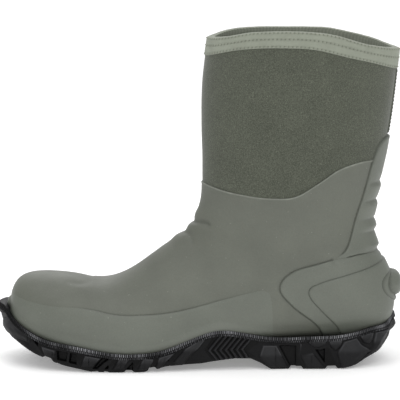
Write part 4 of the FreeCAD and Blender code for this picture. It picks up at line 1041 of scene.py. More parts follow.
# ------------------------------------------------------------------ 9 the binding over the top edge, and its three rows of thread
G_OUT = GB[:, :, :]
N_OUT = grid_normals(GB)
N_IN = grid_normals(G_LIN1)


def ring(G, N, line):
    """For each column of a loop grid, the place where it meets a level line."""
    x, y, z = G[:, :, 0], G[:, :, 1], G[:, :, 2]
    f = z - line(x, y)
    P, Q = np.zeros((NCOL, 3)), np.zeros((NCOL, 3))
    for c in range(NCOL):
        k = int(np.nonzero(f[:, c] > 0)[0][0])
        t = -f[k - 1, c] / (f[k, c] - f[k - 1, c])
        P[c] = G[k - 1, c] * (1 - t) + G[k, c] * t
        Q[c] = N[k - 1, c] * (1 - t) + N[k, c] * t
    return P, Q / np.linalg.norm(Q, axis=1, keepdims=True)


def refine(P, n):
    """A closed ring of points, resampled evenly."""
    c = np.vstack([P, P[:1]])
    d = np.concatenate([[0], np.cumsum(np.linalg.norm(np.diff(c, axis=0), axis=1))])
    t = np.linspace(0, d[-1], n, endpoint=False)
    return np.column_stack([np.interp(t, d, c[:, i]) for i in range(P.shape[1])]), d[-1]


def between_lines(t, off=0.0):
    return lambda x, y: (1 - t) * band_low(x, y) + t * top_line(x, y) + off


NB = 744
NST = 124                                 # stitches in each row
ROWS_AT = (lambda x, y: band_low(x, y) + 1.25, lambda x, y: 0.44 * band_low(x, y) + 0.56 * top_line(x, y), lambda x, y: top_line(x, y) - 0.45)
arc = np.linspace(0, 1, NB, endpoint=False)


def pucker(seed, n):
    r = np.random.RandomState(seed)
    a = np.arange(n) / n * 2 * math.pi
    out = np.zeros(n)
    for k in range(14, 60, 3):
        out += r.uniform(0.3, 1) / k ** 0.5 * np.cos(k * a + r.uniform(0, 6.28))
    return out / np.abs(out).max()


def tape_rings(G, N, out_sign, seed):
    """Rings from the tape's lower edge up to the top edge, pulled in at each row of stitches."""
    rings = []
    ts = np.linspace(0, 1, 26)
    pk = pucker(seed, NB)
    pull = np.abs(np.sin(np.arange(NB) / NB * math.pi * NST))
    for t in ts:
        P, Q = ring(G, N, between_lines(t, -0.35 * (t > 0.99)))
        P, _ = refine(np.hstack([P, Q]), NB)
        P, Q = P[:, :3], P[:, 3:] / np.linalg.norm(P[:, 3:], axis=1, keepdims=True)
        z, x, y = P[:, 2], P[:, 0], P[:, 1]
        away = np.min([np.abs(z - f(x, y)) for f in ROWS_AT], axis=0)
        lift = 0.90 + 0.20 * (1 - np.exp(-(away / 1.1) ** 2)) * (0.8 + 0.45 * pk) - 0.30 * np.exp(-(away / 0.6) ** 2) * (1 - pull) ** 1.5
        if t < 0.02:
            lift = lift * 0 + 0.45
        elif t < 0.06:
            lift = lift * 0.92
        rings.append((P + Q * (lift * out_sign)[:, None], P - Q * (0.05 * out_sign * -1)))
    return rings


outer_rings = [r[0] for r in tape_rings(GB, N_OUT, 1.0, 3)]
N_IN2 = N_IN
inner_rings = [r[0] for r in tape_rings(G_LIN1, N_IN2, -1.0, 8)]
top_o, top_i = outer_rings[-1], inner_rings[-1]
crown = []
mid = 0.5 * (top_o + top_i)
half = 0.5 * (top_o - top_i)
pkt = pucker(21, NB)
for a in np.linspace(0, math.pi, 9)[1:-1]:
    crown.append(mid + half * math.cos(a) + np.array([0, 0, 1.0]) * (math.sin(a) * (1.05 + 0.10 * pkt))[:, None])
hold_o = ring(GB, N_OUT, between_lines(0.02))
lo_o = refine(np.hstack(hold_o), NB)[0]
hold_i = ring(G_LIN1, N_IN, between_lines(0.02))
lo_i = refine(np.hstack(hold_i), NB)[0]


def back_rings(G, N, sign):
    out = []
    for t in np.linspace(0.004, 0.99, 6):
        P, Q = ring(G, N, between_lines(t))
        R, _ = refine(np.hstack([P, Q]), NB)
        out.append(R[:, :3] + R[:, 3:] * (0.06 * sign))
    return out


under_o, under_i = back_rings(GB, N_OUT, 1.0), back_rings(G_LIN1, N_IN, -1.0)
rings = outer_rings + crown + inner_rings[::-1] + under_i + under_o[::-1]
V = np.vstack(rings)
K = len(rings)
faces = []
for i in range(K):
    a, b = i * NB, ((i + 1) % K) * NB
    for j in range(NB):
        j2 = (j + 1) % NB
        faces.append((a + j, a + j2, b + j2, b + j))
painted_shade = np.zeros(len(V))
# painted shade at the stitch holes
hole = (1 - np.abs(np.sin(np.arange(NB) / NB * math.pi * NST))) ** 1.3
for i, R in enumerate(outer_rings + crown + inner_rings[::-1]):
    z, x, y = R[:, 2], R[:, 0], R[:, 1]
    away = np.min([np.abs(z - f(x, y)) for f in ROWS_AT], axis=0)
    painted_shade[i * NB:(i + 1) * NB] = np.exp(-(away / 0.66) ** 2) * hole
# painted shade along the tape's lower edge
painted_shade[:NB] = 0.35
# painted shade on the binding's inner face, in a pattern of folds
inner_fold_shade = 0.5 + 0.5 * np.sin(np.arange(NB) / NB * math.pi * 2 * 130 + 2.0 * np.sin(np.arange(NB) / 31.0))
first = len(outer_rings) + len(crown)
for i in range(first, first + len(inner_rings)):
    painted_shade[i * NB:(i + 1) * NB] = np.maximum(painted_shade[i * NB:(i + 1) * NB], 0.16 + 0.34 * inner_fold_shade)
ob = outward(make("top_binding", V, faces, painted_shade=painted_shade, materials=[M["binding_tape"]]))
tidy(ob, "binding_tape", "top_binding")
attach(ob, "shaft")


def tubes(name, paths, radius, material, sides=8):
    """Short round-ended threads along small paths."""
    V, faces, n = [], [], 0
    for path, up in paths:
        path = np.asarray(path)
        d = np.gradient(path, axis=0)
        d /= np.linalg.norm(d, axis=1, keepdims=True)
        side = np.cross(d, up)
        side /= np.linalg.norm(side, axis=1, keepdims=True)
        top = np.cross(side, d)
        m = len(path)
        prof = np.sqrt(np.clip(1 - (np.linspace(-1, 1, m) * 0.985) ** 6, 0.02, 1))
        for i in range(m):
            for k in range(sides):
                a = 2 * math.pi * k / sides
                V.append(path[i] + radius * prof[i] * (math.cos(a) * side[i] + math.sin(a) * top[i]))
        for i in range(m - 1):
            for k in range(sides):
                k2 = (k + 1) % sides
                faces.append((n + i * sides + k, n + i * sides + k2, n + (i + 1) * sides + k2, n + (i + 1) * sides + k))
        faces.append(tuple(n + k for k in range(sides))[::-1])
        faces.append(tuple(n + (m - 1) * sides + k for k in range(sides)))
        n += m * sides
    ob = make(name, np.array(V), faces, materials=[material])
    return outward(ob)


def stitches(name, line, material, node=None, radius=0.30, part=0.60, lift=1.02):
    P, Q = ring(GB, N_OUT, line)
    R, length = refine(np.hstack([P, Q]), 2400)
    n = NST
    paths = []
    for i in range(n):
        t = (i + 0.5 + np.linspace(-0.5, 0.5, 7) * part) / n * 2400
        idx = np.round(t).astype(int) % 2400
        bow = np.array([-0.30, 0.02, 0.16, 0.20, 0.16, 0.02, -0.30])
        lean = np.linspace(-0.10, 0.10, 7)
        pts = R[idx, :3] + R[idx, 3:] * (lift + bow)[:, None]
        pts[:, 2] += lean
        paths.append((pts, R[idx[3], 3:]))
    ob = tubes(name, paths, radius, material)
    tidy(ob, "thread", *([node] if node else []))
    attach(ob, "shaft")
    return ob


stitches("binding_stitch_lower", ROWS_AT[0], M["thread"], "binding_stitch_lower")
stitches("binding_stitch_middle", ROWS_AT[1], M["thread"], "binding_stitch_middle")
stitches("binding_stitch_upper", ROWS_AT[2], M["thread"], "binding_stitch_upper")

# ------------------------------------------------------------------ 10 the tape over the rear seam, with a row of thread down each side
BG = np.concatenate([GB.reshape(-1, 3), N_OUT.reshape(-1, 3)], axis=1)
BF = {4: grid_faces(0, len(S_ROWS) - 1)}


def f_seam(A):
    x, y, z = A[:, 0], A[:, 1], A[:, 2]
    d = np.minimum(7.5 - np.abs(y), z - 183.4)
    d = np.minimum(d, band_low(x, y) - 0.2 - z)
    return np.where(x > 60, d, -5.0)


SA, SF = sub(BG, BF, 120, 999, 175, 262)
SA, SF = patch(SA, SF, f_seam, (0.25, 0.8))
d = f_seam(SA)
y = SA[:, 1]
row = np.exp(-((np.abs(y) - 5.7) / 0.6) ** 2)
up = 0.10 + 0.75 * quarter(d, 0.8) - 0.28 * row + 0.10 * NOISE(SA[:, :3], 6.0)
V, faces, mats = closed_solid(SA[:, :3] + SA[:, 3:] * up[:, None], SA[:, :3] - SA[:, 3:] * 0.02, SF)
# painted shade in the two stitch rows
ob = outward(make("back_seam_tape", V, faces, painted_shade=np.concatenate([0.7 * row, row * 0]), materials=[M["seam_tape"]]))
tidy(ob, "binding_tape", "back_seam_tape")
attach(ob, "shaft")
paths = []
zb = np.arange(185.0, 232.0, 2.9)
for side in (-1, 1):
    for z0 in zb:
        zz = z0 + np.linspace(0, 2.2, 7)
        px = []
        for q in zz:
            near = np.argmin(np.abs(SA[:, 2] - q) * 1.0 + np.abs(SA[:, 1] - side * 5.7) * 0.6)
            col = NC - side * 0
            f = GB[:, NC, 2]
            k = int(np.nonzero(f > q)[0][0])
            t = (q - f[k - 1]) / (f[k] - f[k - 1])
            back = GB[k - 1, NC] * (1 - t) + GB[k, NC] * t
            px.append(back[0] - 0.42)
        bow = np.array([-0.28, 0.02, 0.14, 0.18, 0.14, 0.02, -0.28])
        pts = np.column_stack([np.array(px) + 0.62 + bow, np.full(7, side * 5.7), zz])
        paths.append((pts, np.array([1.0, 0.0, 0.0])))
ob = tubes("seam_tape_thread", paths, 0.33, M["thread_dark"])
tidy(ob, "thread")
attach(ob, "shaft")

# ------------------------------------------------------------------ 11 the outsole
POLYS = [
    (1.4, [(-163.6, 49.4), (-153.5, 53.9), (-151.8, 49.5), (-155.1, 43.5), (-156.7, 40.3), (-163.7, 37.1)]),
    (0.9, [(-157.8, 34.9), (-151.0, 40.4), (-140.7, 33.4), (-134.0, 26.4), (-134.1, 20.8), (-144.2, 23.1), (-153.0, 25.6), (-158.9, 28.6)]),
    (-3, [(-133.2, 24.1), (-128.8, 19.7), (-122.4, 9.9), (-116.4, 8.7), (-125.1, 20.9), (-130.8, 25.1)]),
    (0.7, [(-125.1, 19.7), (-113.9, 16.9), (-113.6, 10.1), (-122.0, 10.8)]),
    (-3, [(-112.9, 16.5), (-104.3, 15.4), (-105.3, 8.2), (-112.5, 9.3)]),
    (-3, [(-102.0, 15.1), (-90.9, 13.4), (-92.5, 7.8), (-94.9, 5.7), (-103.2, 7.5)]),
    (0.8, [(-90.1, 13.9), (-77.5, 11.7), (-84.7, 4.0), (-94.1, 4.5)]),
    (-3, [(-77.2, 11.7), (-70.5, 11.4), (-75.2, 8.1), (-80.7, 2.9), (-84.3, 3.2)]),
    (-3, [(-67.7, 10.6), (-63.4, 10.3), (-65.8, 7.1), (-72.9, 3.0), (-74.9, 2.9)]),
    (0.8, [(-62.8, 12.2), (-55.6, 11.4), (-59.6, 2.6), (-69.0, 2.6)]),
    (-3, [(-45.1, 9.3), (-51.7, 9.3), (-58.8, 2.2), (-53.3, 2.2)]),
    (0.8, [(-44.3, 11.7), (-36.1, 11.0), (-37.6, 6.3), (-42.3, 2.0), (-49.4, 2.1)]),
    (-2.2, [(-35.3, 11.4), (-32.9, 11.7), (-34.5, 4.2), (-38.4, 1.9), (-40.8, 1.9)]),
    (0.8, [(-32.1, 12.1), (-18.8, 15.7), (-26.7, 7.9), (-31.4, 2.1), (-35.7, 2.2)]),
    (-3, [(-18.1, 16.0), (-11.8, 18.2), (-18.8, 12.9), (-23.2, 7.4), (-25.1, 9.1)]),
    (1.0, [(-11.0, 19.0), (-3.1, 23.6), (2.4, 26.4), (3.9, 24.6), (-0.8, 18.3), (-6.3, 13.2), (-13.4, 4.6), (-18.5, 4.8), (-21.2, 8.1)]),
    (0.8, [(49.6, 19.7), (60.3, 19.6), (69.8, 1.9), (55.2, 1.9), (46.5, 9.7)]),
    (-2.2, [(62.1, 19.4), (76.4, 19.1), (78.1, 13.9), (76.5, 11.9), (78.9, 7.5), (81.3, 1.0), (71.8, 1.0)]),
    (0.5, [(78.4, 22.8), (80.4, 20.3), (79.2, 13.1), (80.4, 11.5), (89.1, 13.5), (98.7, 1.7), (83.7, 1.0), (79.7, 9.9)]),
    (1.2, [(85.1, 23.5), (100.1, 23.4), (98.9, 20.2), (94.2, 17.6), (89.1, 18.0), (85.9, 20.6)]),
    (-2.6, [(90.7, 16.3), (94.6, 15.4), (100.9, 17.7), (103.4, 13.7), (109.0, 0.6), (100.7, 1.6)]),
    (1.2, [(101.3, 23.4), (112.4, 23.5), (111.3, 18.3), (107.3, 14.5), (103.3, 17.7)]),
    (0.7, [(114.0, 22.3), (124.0, 24.9), (128.1, 18.7), (136.4, 13.3), (130.6, 10.0), (120.2, 1.0), (111.4, 0.6), (108.1, 12.7)]),
    (1.2, [(125.6, 27.7), (137.9, 28.0), (137.1, 22.1), (133.0, 18.8), (128.9, 20.6)]),
    (0.8, [(139.6, 27.8), (151.7, 28.5), (150.8, 22.7), (145.2, 15.9), (139.3, 12.1), (131.9, 9.8), (136.8, 16.5)]),
]
CHEVRONS = [
    [(16.5, 27.8), (7.3, 16.4), (14.2, 8.2)],
    [(20.8, 27.8), (11.6, 16.5), (18.1, 8.4)],
    [(25.1, 27.8), (15.9, 16.5), (22.1, 8.7)],
    [(29.4, 27.8), (20.2, 16.6), (26.0, 8.9)],
    [(33.7, 27.8), (24.5, 16.7), (29.9, 9.2)],
    [(38.0, 27.9), (28.8, 16.8), (33.9, 9.4)],
    [(42.3, 27.9), (33.1, 16.9), (37.8, 9.7)],
]
CHEV_AREA = [(12.5, 29.5), (45.5, 27.0), (45.9, 20.6), (37.0, 15.0), (43.5, 10.1), (11.0, 7.5), (3.9, 16.5)]


def closed_plan(side):
    pts = np.array([(x, (m if side == 0 else l)) for x, m, l in OUT_PLAN], float)
    lead = np.array([(x, -y) for x, y in pts[1:4][::-1]])
    tail = np.array([(x, -y) for x, y in pts[-4:-1][::-1]])
    p = np.vstack([lead, pts, tail])
    d = np.concatenate([[0], np.cumsum(np.hypot(*np.diff(p, axis=0).T))])
    fx, fy = spline(d, p[:, 0]), spline(d, p[:, 1])
    t = np.linspace(d[3], d[-4], 6000)
    x, gx = fx(t)
    y, gy = fy(t)
    L = np.hypot(gx, gy)
    return t - t[0], x, y, -gy / L, gx / L


tm, xm, ym, nxm, nym = closed_plan(0)
tl_, xl, yl, nxl, nyl = closed_plan(1)
NX = 860
samp = np.linspace(0.9, tm[-1] - 0.9, NX)
X = np.interp(samp, tm, xm)
halfplan = []
for x_, y_, nx_, ny_ in ((xm, ym, nxm, nym), (xl, yl, nxl, nyl)):
    order = np.maximum.accumulate(x_ + np.arange(len(x_)) * 1e-7)
    halfplan.append((np.interp(X, order, y_), np.interp(X, order, nx_), np.interp(X, order, ny_)))



def ground(x):
    return level(GROUND, x)




def side_height(x, z, arc_mm):
    """How far the sole's side stands out from its plan, the painted shade of its hollows, and painted highlights mixed
    with wear on its raised edges.
    """
    out = np.full(x.shape, -0.9)
    shade = np.zeros(x.shape)
    wear_and_highlight = np.zeros(x.shape)
    for hgt, poly in POLYS:
        p = np.array(poly)
        ok = (x > p[:, 0].min() - 3) & (x < p[:, 0].max() + 3)
        s = signed(x[ok], z[ok], poly)
        if hgt > 0:
            v = (hgt * 1.6 + 1.3) * (0.45 * step01((s + 0.15) / 0.9) + 0.55 * step01(s / 5.5)) - 0.9
            out[ok] = np.maximum(out[ok], v)
            # painted highlights mixed with wear on the raised edges, stronger on the top side where the light falls
            top_side = step01((z[ok] - p[:, 1].mean() + 1.0) / 4.0)
            wear_and_highlight[ok] = np.maximum(wear_and_highlight[ok], 0.10 * np.exp(-((s - 0.75) / 0.5) ** 2) * top_side + 0.05 * step01(s / 2.0) * (0.3 + 0.7 * top_side))
        else:
            v = hgt * 1.35 * step01((s + 0.6) / 1.6)
            out[ok] = np.minimum(out[ok], v)
            # painted shade in the recesses
            shade[ok] = np.maximum(shade[ok], step01((s + 0.6) / 1.2) * 0.85)
    area = signed(x, z, CHEV_AREA)
    near = area > -1.5
    inn = step01((area + 0.4) / 0.8)
    out = out * (1 - inn) - 1.3 * inn
    # painted shade in the chevron recess; the ridges lose it and get a faint painted highlight
    shade = np.maximum(shade, inn * 0.7)
    for line in CHEVRONS:
        dd, _ = line_distance(x[near], z[near], line)
        st_ = step01((1.0 - dd) / 0.5) * step01((area[near] + 0.3) / 0.8)
        out[near] = out[near] + 1.9 * st_
        shade[near] = shade[near] * (1 - st_)
        wear_and_highlight[near] = np.maximum(wear_and_highlight[near], 0.045 * st_)
    # the knurled band under the rim, with painted shade between the ticks and painted highlights mixed with wear on
    # their tips
    below = rim(x) - z
    band = step01((below + 0.3) / 0.25) * step01((4.4 - below) / 0.4)
    tick = 0.5 + 0.5 * np.cos(2 * math.pi * (arc_mm / 1.5 + 0.5 * (below > 2.35)))
    gap = 1 - np.exp(-((below - 2.35) / 0.22) ** 2)
    grow = np.clip(0.42 + 0.42 * np.sin(arc_mm / 9.0) * np.sin(arc_mm / 23.0 + 1.0) + 0.28 * np.sin(arc_mm / 3.7 + 1.4 * np.sin(arc_mm / 11.0)), 0.05, 1.0)
    out = out * (1 - band) + band * (0.20 + 0.85 * step01((tick - 0.25) / 0.5) * gap)
    shade = shade * (1 - band) + band * 0.8 * (1 - tick)
    tip = band * gap * step01((tick - 0.40) / 0.45)
    wear_and_highlight = wear_and_highlight * (1 - band) + tip * np.where(below < 2.35, 0.16 + 0.70 * grow, 0.04 + 0.34 * grow) * step01((x + 150) / 25.0)
    # the heel shelf
    back = step01((x - 140.0) / 15.0)
    shelf = np.interp(z, (18, 24.7, 27.0, 29.6, 31.5, 34, 39.4), (-2.6, -3.0, -0.8, 0.0, -0.6, -2.6, -3.8))
    out = out + back * shelf
    # the blocks are cut a little unevenly, and their edges are worn
    out = out + 0.45 * np.sin(x * 0.23 + 1.3) * np.sin(z * 0.31 + x * 0.11) * (below > 4.4)
    out = out + 0.10 * np.sin(x * 0.9 + z * 0.7) * np.sin(x * 0.31)
    return out, shade, wear_and_highlight


TOPD = np.array([0.8, 2.0, 3.5, 5.0, 6.5, 8.0, 10.0, 13.0])
NV, NBT = 50, 64
secs, shades, wear_and_highlight_rows = [], [], []
vv = np.linspace(0, 1, NV)
for side in (0, 1):
    hy, nx_, ny_ = halfplan[side]
    sgn = -1 if side == 0 else 1
    zt, zb_ = rim(X), np.minimum(ground(X), rim(X) - 2.0)
    cutaway = np.zeros(NX)
    for hgt, poly in POLYS:
        if hgt < 0:
            cutaway = np.maximum(cutaway, step01((signed(X, zb_ + 2.6, poly) + 1.2) / 2.2))
    zb_ = zb_ + 2.3 * cutaway
    XX = np.repeat(X[:, None], NV, 1)
    ZZ = zt[:, None] + (zb_ - zt)[:, None] * vv[None, :]
    ARC = np.repeat(samp[:, None], NV, 1)
    hgt, sh, wr = (v.reshape(XX.shape) for v in side_height(XX.ravel(), ZZ.ravel(), ARC.ravel()))
    down = (ZZ - zb_[:, None])
    from_top = (zt[:, None] - ZZ)
    hgt = hgt - 2.2 * (1 - quarter(np.clip(down, 0, None), 2.6)) - 0.9 * (1 - quarter(np.clip(from_top, 0, None), 0.8))
    px = XX + nx_[:, None] * hgt
    py = np.maximum(hy[:, None] + ny_[:, None] * hgt, 0.02) * sgn
    secs.append(np.stack([px, py, ZZ], axis=-1))
    shades.append(sh)
    wear_and_highlight_rows.append(wr)


def tread(x, y):
    """Cleats under the sole: how far up its grooves go."""
    half = np.interp(x, X, halfplan[0][0]) * (y < 0) + np.interp(x, X, halfplan[1][0]) * (y >= 0)
    edge = half - np.abs(y)
    k = np.abs(((x * 0.86 + np.abs(y) * 0.62 + 400) / 15.5) % 1.0 - 0.5) * 15.5
    bars = step01((k - 5.3) / 0.8)
    centre = step01((3.2 - np.abs(y)) / 0.9) * 0.7
    outer = np.abs(edge - 13.5)
    ringg = step01((2.0 - outer) / 0.8)
    g = np.maximum(np.maximum(bars, centre), ringg)
    flat = ((x > -88) & (x < -40)) | ((x > 54) & (x < 120))
    fade = step01((x + 150) / 10) * step01((150 - x) / 10)
    arch = ((x > -13.5) & (x < 48))
    return g * fade * np.where(arch, 0.0, 1.0) * 3.6


tb = np.linspace(0, 1, NBT + 2)[1:-1]
b0, b1 = secs[0][:, -1], secs[1][:, -1]
bottom = b0[:, None, :] * (1 - tb)[None, :, None] + b1[:, None, :] * tb[None, :, None]
bx, by = bottom[..., 0], bottom[..., 1]
gh = tread(bx.ravel(), by.ravel()).reshape(bx.shape)
arch_w = step01((bx + 13.0) / 1.2) * step01((47.6 - bx) / 1.2) * step01((36.0 - np.abs(by - 2.5)) / 1.6)
bottom[..., 2] = bottom[..., 2] + gh + arch_w * 4.0
# painted shade in the tread's grooves
bot_shade = np.clip(gh / 3.6, 0, 1) * 0.5
t0, t1 = secs[1][:, 0], secs[0][:, 0]
width = np.abs(t0[:, 1] - t1[:, 1])
rel = TOPD[None, :] / np.maximum(width, 34.0)[:, None]
TT = np.concatenate([rel, np.repeat(np.array([[0.5]]), NX, 0), 1 - rel[:, ::-1]], axis=1)
topf = t0[:, None, :] * (1 - TT[..., None]) + t1[:, None, :] * TT[..., None]
plan_m = [(x, -y) for x, y in zip(xm[::40], ym[::40])]
plan_l = [(x, y) for x, y in zip(xl[::40], yl[::40])][::-1]
inset = signed(topf[..., 0].ravel(), topf[..., 1].ravel(), plan_m + plan_l).reshape(topf.shape[:2])
start = np.interp(topf[..., 0], (-161, -146, -130, -100, 120, 146, 159), (9.5, 8.5, 6.5, 5.2, 5.0, 6.5, 7.0))
depth = np.minimum(8.0, (rim(X) - ground(X)) * 0.4)[:, None]
topf[..., 2] = topf[..., 2] - 0.35 * step01(inset / 2.0) - depth * step01((inset - start) / 4.0)
loops = np.concatenate([secs[0], bottom, secs[1][:, ::-1], topf], axis=1)
NTP = topf.shape[1]
# painted shade in the hollows, and over the top face inward from the rim
shade = np.concatenate([shades[0], bot_shade, shades[1][:, ::-1], 0.45 * step01((inset - 2.2) / 1.5)], axis=1)
# painted highlights mixed with wear on the sole's side, and a painted highlight along the rim's top edge
wear_and_highlight = np.concatenate([wear_and_highlight_rows[0], bot_shade * 0, wear_and_highlight_rows[1][:, ::-1], 0.10 * (1 - step01((inset - 2.0) / 1.5)) * step01((topf[..., 0] + 150) / 25.0)], axis=1)
nl = loops.shape[1]
V = loops.reshape(-1, 3)
r = np.arange(NX - 1)[:, None]
c = np.arange(nl)[None, :]
q = np.stack([r * nl + c, r * nl + (c + 1) % nl, (r + 1) * nl + (c + 1) % nl, (r + 1) * nl + c], axis=-1).reshape(-1, 4)
faces = [tuple(f) for f in q.tolist()] + [tuple(range(nl))[::-1], tuple(range((NX - 1) * nl, NX * nl))]
ob = outward(make("outsole", V, faces, painted_shade=shade.ravel(), wear_and_highlight=wear_and_highlight.ravel(), materials=[M["outsole_rubber"]]))
tidy(ob, "outsole_rubber", "outsole")
sharp(ob, 38)
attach(ob, "foot")

# ------------------------------------------------------------------ 12 the pad let into the arch: a rounded plate with low ribs
nx2, ny2 = 100, 110
gx = np.linspace(-11.9, 46.4, nx2)
gy = np.linspace(-29.9, 34.9, ny2)
GX, GY = np.meshgrid(gx, gy, indexing="ij")
edge = np.minimum(np.minimum(GX - gx[0], gx[-1] - GX), np.minimum(GY - gy[0], gy[-1] - GY))
low = np.interp(GX, [p[0] for p in GROUND], [p[1] for p in GROUND])
ribs = 0.55 * step01(np.cos(2 * math.pi * (GX + GY * 0.12) / 6.5) * 2 + 0.2) * step01((edge - 3.0) / 1.2)
zl = low + 2.4 + 1.2 * (1 - quarter(edge, 1.6)) - ribs
zh = np.maximum(zl + 2.2, low + 5.4) + 0 * GX
P = np.stack([GX, GY, zl], -1).reshape(-1, 3)
Q = np.stack([GX, GY, zh], -1).reshape(-1, 3)
r = np.arange(nx2 - 1)[:, None]
c = np.arange(ny2 - 1)[None, :]
q = np.stack([r * ny2 + c, r * ny2 + c + 1, (r + 1) * ny2 + c + 1, (r + 1) * ny2 + c], axis=-1).reshape(-1, 4)
V, faces, mats = closed_solid(P, Q, {4: q})
# painted shade between the ribs
ob = outward(make("arch_insert", V, faces, painted_shade=np.concatenate([(0.5 * (1 - ribs / 0.55)).ravel() * 0.4, np.zeros(len(Q))]), materials=[M["arch_rubber"]]))
tidy(ob, "outsole_rubber", "arch_insert")
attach(ob, "foot")

# ------------------------------------------------------------------ 13 the removable footbed: cupped foam, quilted on top
lo, hi = (np.array(v) * 1000 + np.array([X0, Y0, 0]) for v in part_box("footbed"))
SOLE = np.array([(s[2], s[3]) for s in STATIONS[1:18]])
nfx, nfy = 190, 70
fx_ = lo[0] + 1.0 + (hi[0] - lo[0] - 2.0) * (0.5 - 0.5 * np.cos(np.linspace(0.0, 1, nfx) * math.pi))
bed = inner_grid(5.5 + 1.3, 5.0 + 1.3, 5.0 + 1.3)


def half_at(G, x, z, side):
    """The half width of a loop grid at a place on its centre plane."""
    cols = range(1, NC) if side == 0 else range(NC + 1, NCOL)
    pts = G[:, list(cols)].reshape(-1, 3)
    d = np.hypot(pts[:, 0] - x, pts[:, 2] - z)
    near = np.argsort(d)[:6]
    return float(np.abs(pts[near, 1]).mean())


fz = np.interp(fx_, SOLE[:, 0], SOLE[:, 1]) + 10.75
for _ in range(8):
    fz[1:-1] = (fz[:-2] + 2 * fz[1:-1] + fz[2:]) / 4
hm = np.array([half_at(bed, x, z + 2.0, 0) for x, z in zip(fx_, fz)])
hl = np.array([half_at(bed, x, z + 2.0, 1) for x, z in zip(fx_, fz)])
tip = np.sqrt(np.clip(np.minimum(fx_ - fx_[0], fx_[-1] - fx_) / 16.0, 0, 1))
for arr in (hm, hl):
    for _ in range(6):
        arr[1:-1] = (arr[:-2] + 2 * arr[1:-1] + arr[2:]) / 4
box_lo, box_hi = lo[1] + 0.8, hi[1] - 0.8
hm = np.minimum((hm - 2.2) * tip + 0.6, -box_lo)
hl = np.minimum((hl - 2.2) * tip + 0.6, box_hi)
tv = np.linspace(0, 1, nfy)
FY = -hm[:, None] * (1 - tv)[None, :] + hl[:, None] * tv[None, :]
FX = np.repeat(fx_[:, None], nfy, 1)
fe = np.minimum(np.minimum(FY + hm[:, None], hl[:, None] - FY), np.minimum(FX - fx_[0], fx_[-1] - FX))
quilt = 0.5 * (1 - np.exp(-(np.minimum(np.abs(((FX + FY) / 17.0) % 1 - 0.5), np.abs(((FX - FY) / 17.0) % 1 - 0.5)) * 17.0 / 1.0) ** 2))
ztop = fz[:, None] + 3.0 + 0.9 * np.exp(-fe / 6.0) * quarter(fe, 1.2) - 1.0 * (1 - quarter(fe, 1.2)) + quilt * step01(fe / 4.0)
zlow = fz[:, None] + 0.25 + 0.9 * (1 - quarter(fe, 1.4))
P = np.stack([FX, FY, ztop], -1).reshape(-1, 3)
Q = np.stack([FX, FY, zlow], -1).reshape(-1, 3)
r = np.arange(nfx - 1)[:, None]
c = np.arange(nfy - 1)[None, :]
q = np.stack([r * nfy + c, r * nfy + c + 1, (r + 1) * nfy + c + 1, (r + 1) * nfy + c], axis=-1).reshape(-1, 4)
V, faces, mats = closed_solid(P, Q, {4: q})
# painted shade in the quilting grooves
ob = outward(make("footbed", V, faces, painted_shade=np.concatenate([(1 - quilt / 0.5).ravel() * 0.35, np.zeros(len(Q))]), materials=[M["footbed_foam"]]))
tidy(ob, "footbed_foam", "footbed")
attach(ob, "footbed")

# ------------------------------------------------------------------ the hidden stiff parts keep their CAD shapes and get real finishes
KEEP = {"midsole": "midsole_foam", "steel_shank": "spring_steel", "insole_board": "fibre_board", "toe_puff": "fibre_board", "heel_counter": "fibre_board"}
for name, mat in KEEP.items():
    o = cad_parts[name]
    for s in o.material_slots:
        s.material = M[mat]

# ------------------------------------------------------------------ the floor, the lights and the camera
def floor_material():
    k = Mat("floor_paper", 0.9, 0.2)
    c = k.ramp(k.noise(60, 3.0), 0.3, 0.7, (0.955, 0.955, 0.955, 1), (0.975, 0.975, 0.975, 1))
    return k.finish(c, None, ((k.noise(1.5, 2.0), 0.02),))


me = bpy.data.meshes.new("floor")
s = 9.0
me.from_pydata([(-s, -s, 0), (s, -s, 0), (s, s, 0), (-s, s, 0)], [], [(0, 1, 2, 3)])
me.materials.append(floor_material())
floor = bpy.data.objects.new("floor", me)
bpy.context.scene.collection.objects.link(floor)
floor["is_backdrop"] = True

# a faint glow of its own, as a lit paper sweep has
nt = floor.data.materials[0].node_tree
pbsdf = [n for n in nt.nodes if n.type == "BSDF_PRINCIPLED"][0]
pbsdf.inputs["Emission Color"].default_value = (1, 1, 1, 1)
pbsdf.inputs["Emission Strength"].default_value = 0.24

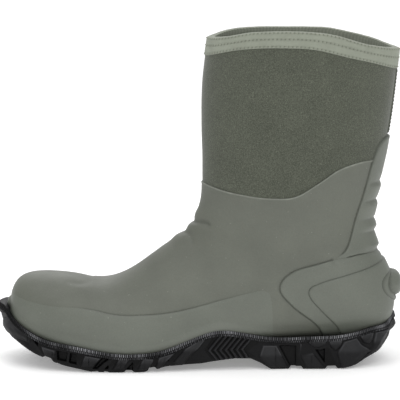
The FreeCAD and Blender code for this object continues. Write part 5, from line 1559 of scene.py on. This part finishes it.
# white all round, less of it from the two ends of the boot
world = bpy.data.worlds.new("studio")
world.use_nodes = True
wt = world.node_tree
coord = wt.nodes.new("ShaderNodeTexCoord")
split_ = wt.nodes.new("ShaderNodeSeparateXYZ")
wt.links.new(coord.outputs["Generated"], split_.inputs["Vector"])
amount = wt.nodes.new("ShaderNodeMath")
amount.operation = "ABSOLUTE"
wt.links.new(split_.outputs["X"], amount.inputs[0])
fall = wt.nodes.new("ShaderNodeMapRange")
fall.inputs["From Min"].default_value, fall.inputs["From Max"].default_value = 0.22, 0.80
fall.inputs["To Min"].default_value, fall.inputs["To Max"].default_value = 1.0, 0.42
wt.links.new(amount.outputs[0], fall.inputs["Value"])
wt.links.new(fall.outputs["Result"], wt.nodes["Background"].inputs["Color"])
wt.nodes["Background"].inputs["Strength"].default_value = 1.11
bpy.context.scene.world = world


def area(name, loc, target, size, power):
    l = bpy.data.lights.new(name, "AREA")
    l.shape, l.size, l.energy = "DISK", size, power
    o = bpy.data.objects.new(name, l)
    bpy.context.scene.collection.objects.link(o)
    o.location = loc
    from mathutils import Vector
    o.rotation_euler = (Vector(target) - Vector(loc)).to_track_quat("-Z", "Y").to_euler()
    return o


area("key", (0.5, -1.9, 1.9), (0, 0, 0.12), 1.3, 7.5)
area("top", (-0.3, -0.3, 2.2), (-0.02, 0, 0.1), 0.9, 6.0)
area("back_rim", (-0.2, 1.6, 1.2), (0, 0, 0.15), 1.0, 4.0)

cam = bpy.data.cameras.new("camera")
cam.lens, cam.sensor_width = 202.5, 36.0
cam.clip_end = 60
co = bpy.data.objects.new("camera", cam)
bpy.context.scene.collection.objects.link(co)
co.location = (-0.00015, -1.7807 - 0.00193, 0.3916)
co.rotation_euler = (math.radians(90) - math.atan2(0.3916 - 0.12867, 1.7807), 0, 0)
bpy.context.scene.camera = co
bpy.context.scene.view_settings.view_transform = "Standard"


def plain(v):
    if hasattr(v, "__len__"):
        return [plain(x) for x in v]
    return float(v)


{"cad": plain(CAD_BOX), "visual": plain(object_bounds())}
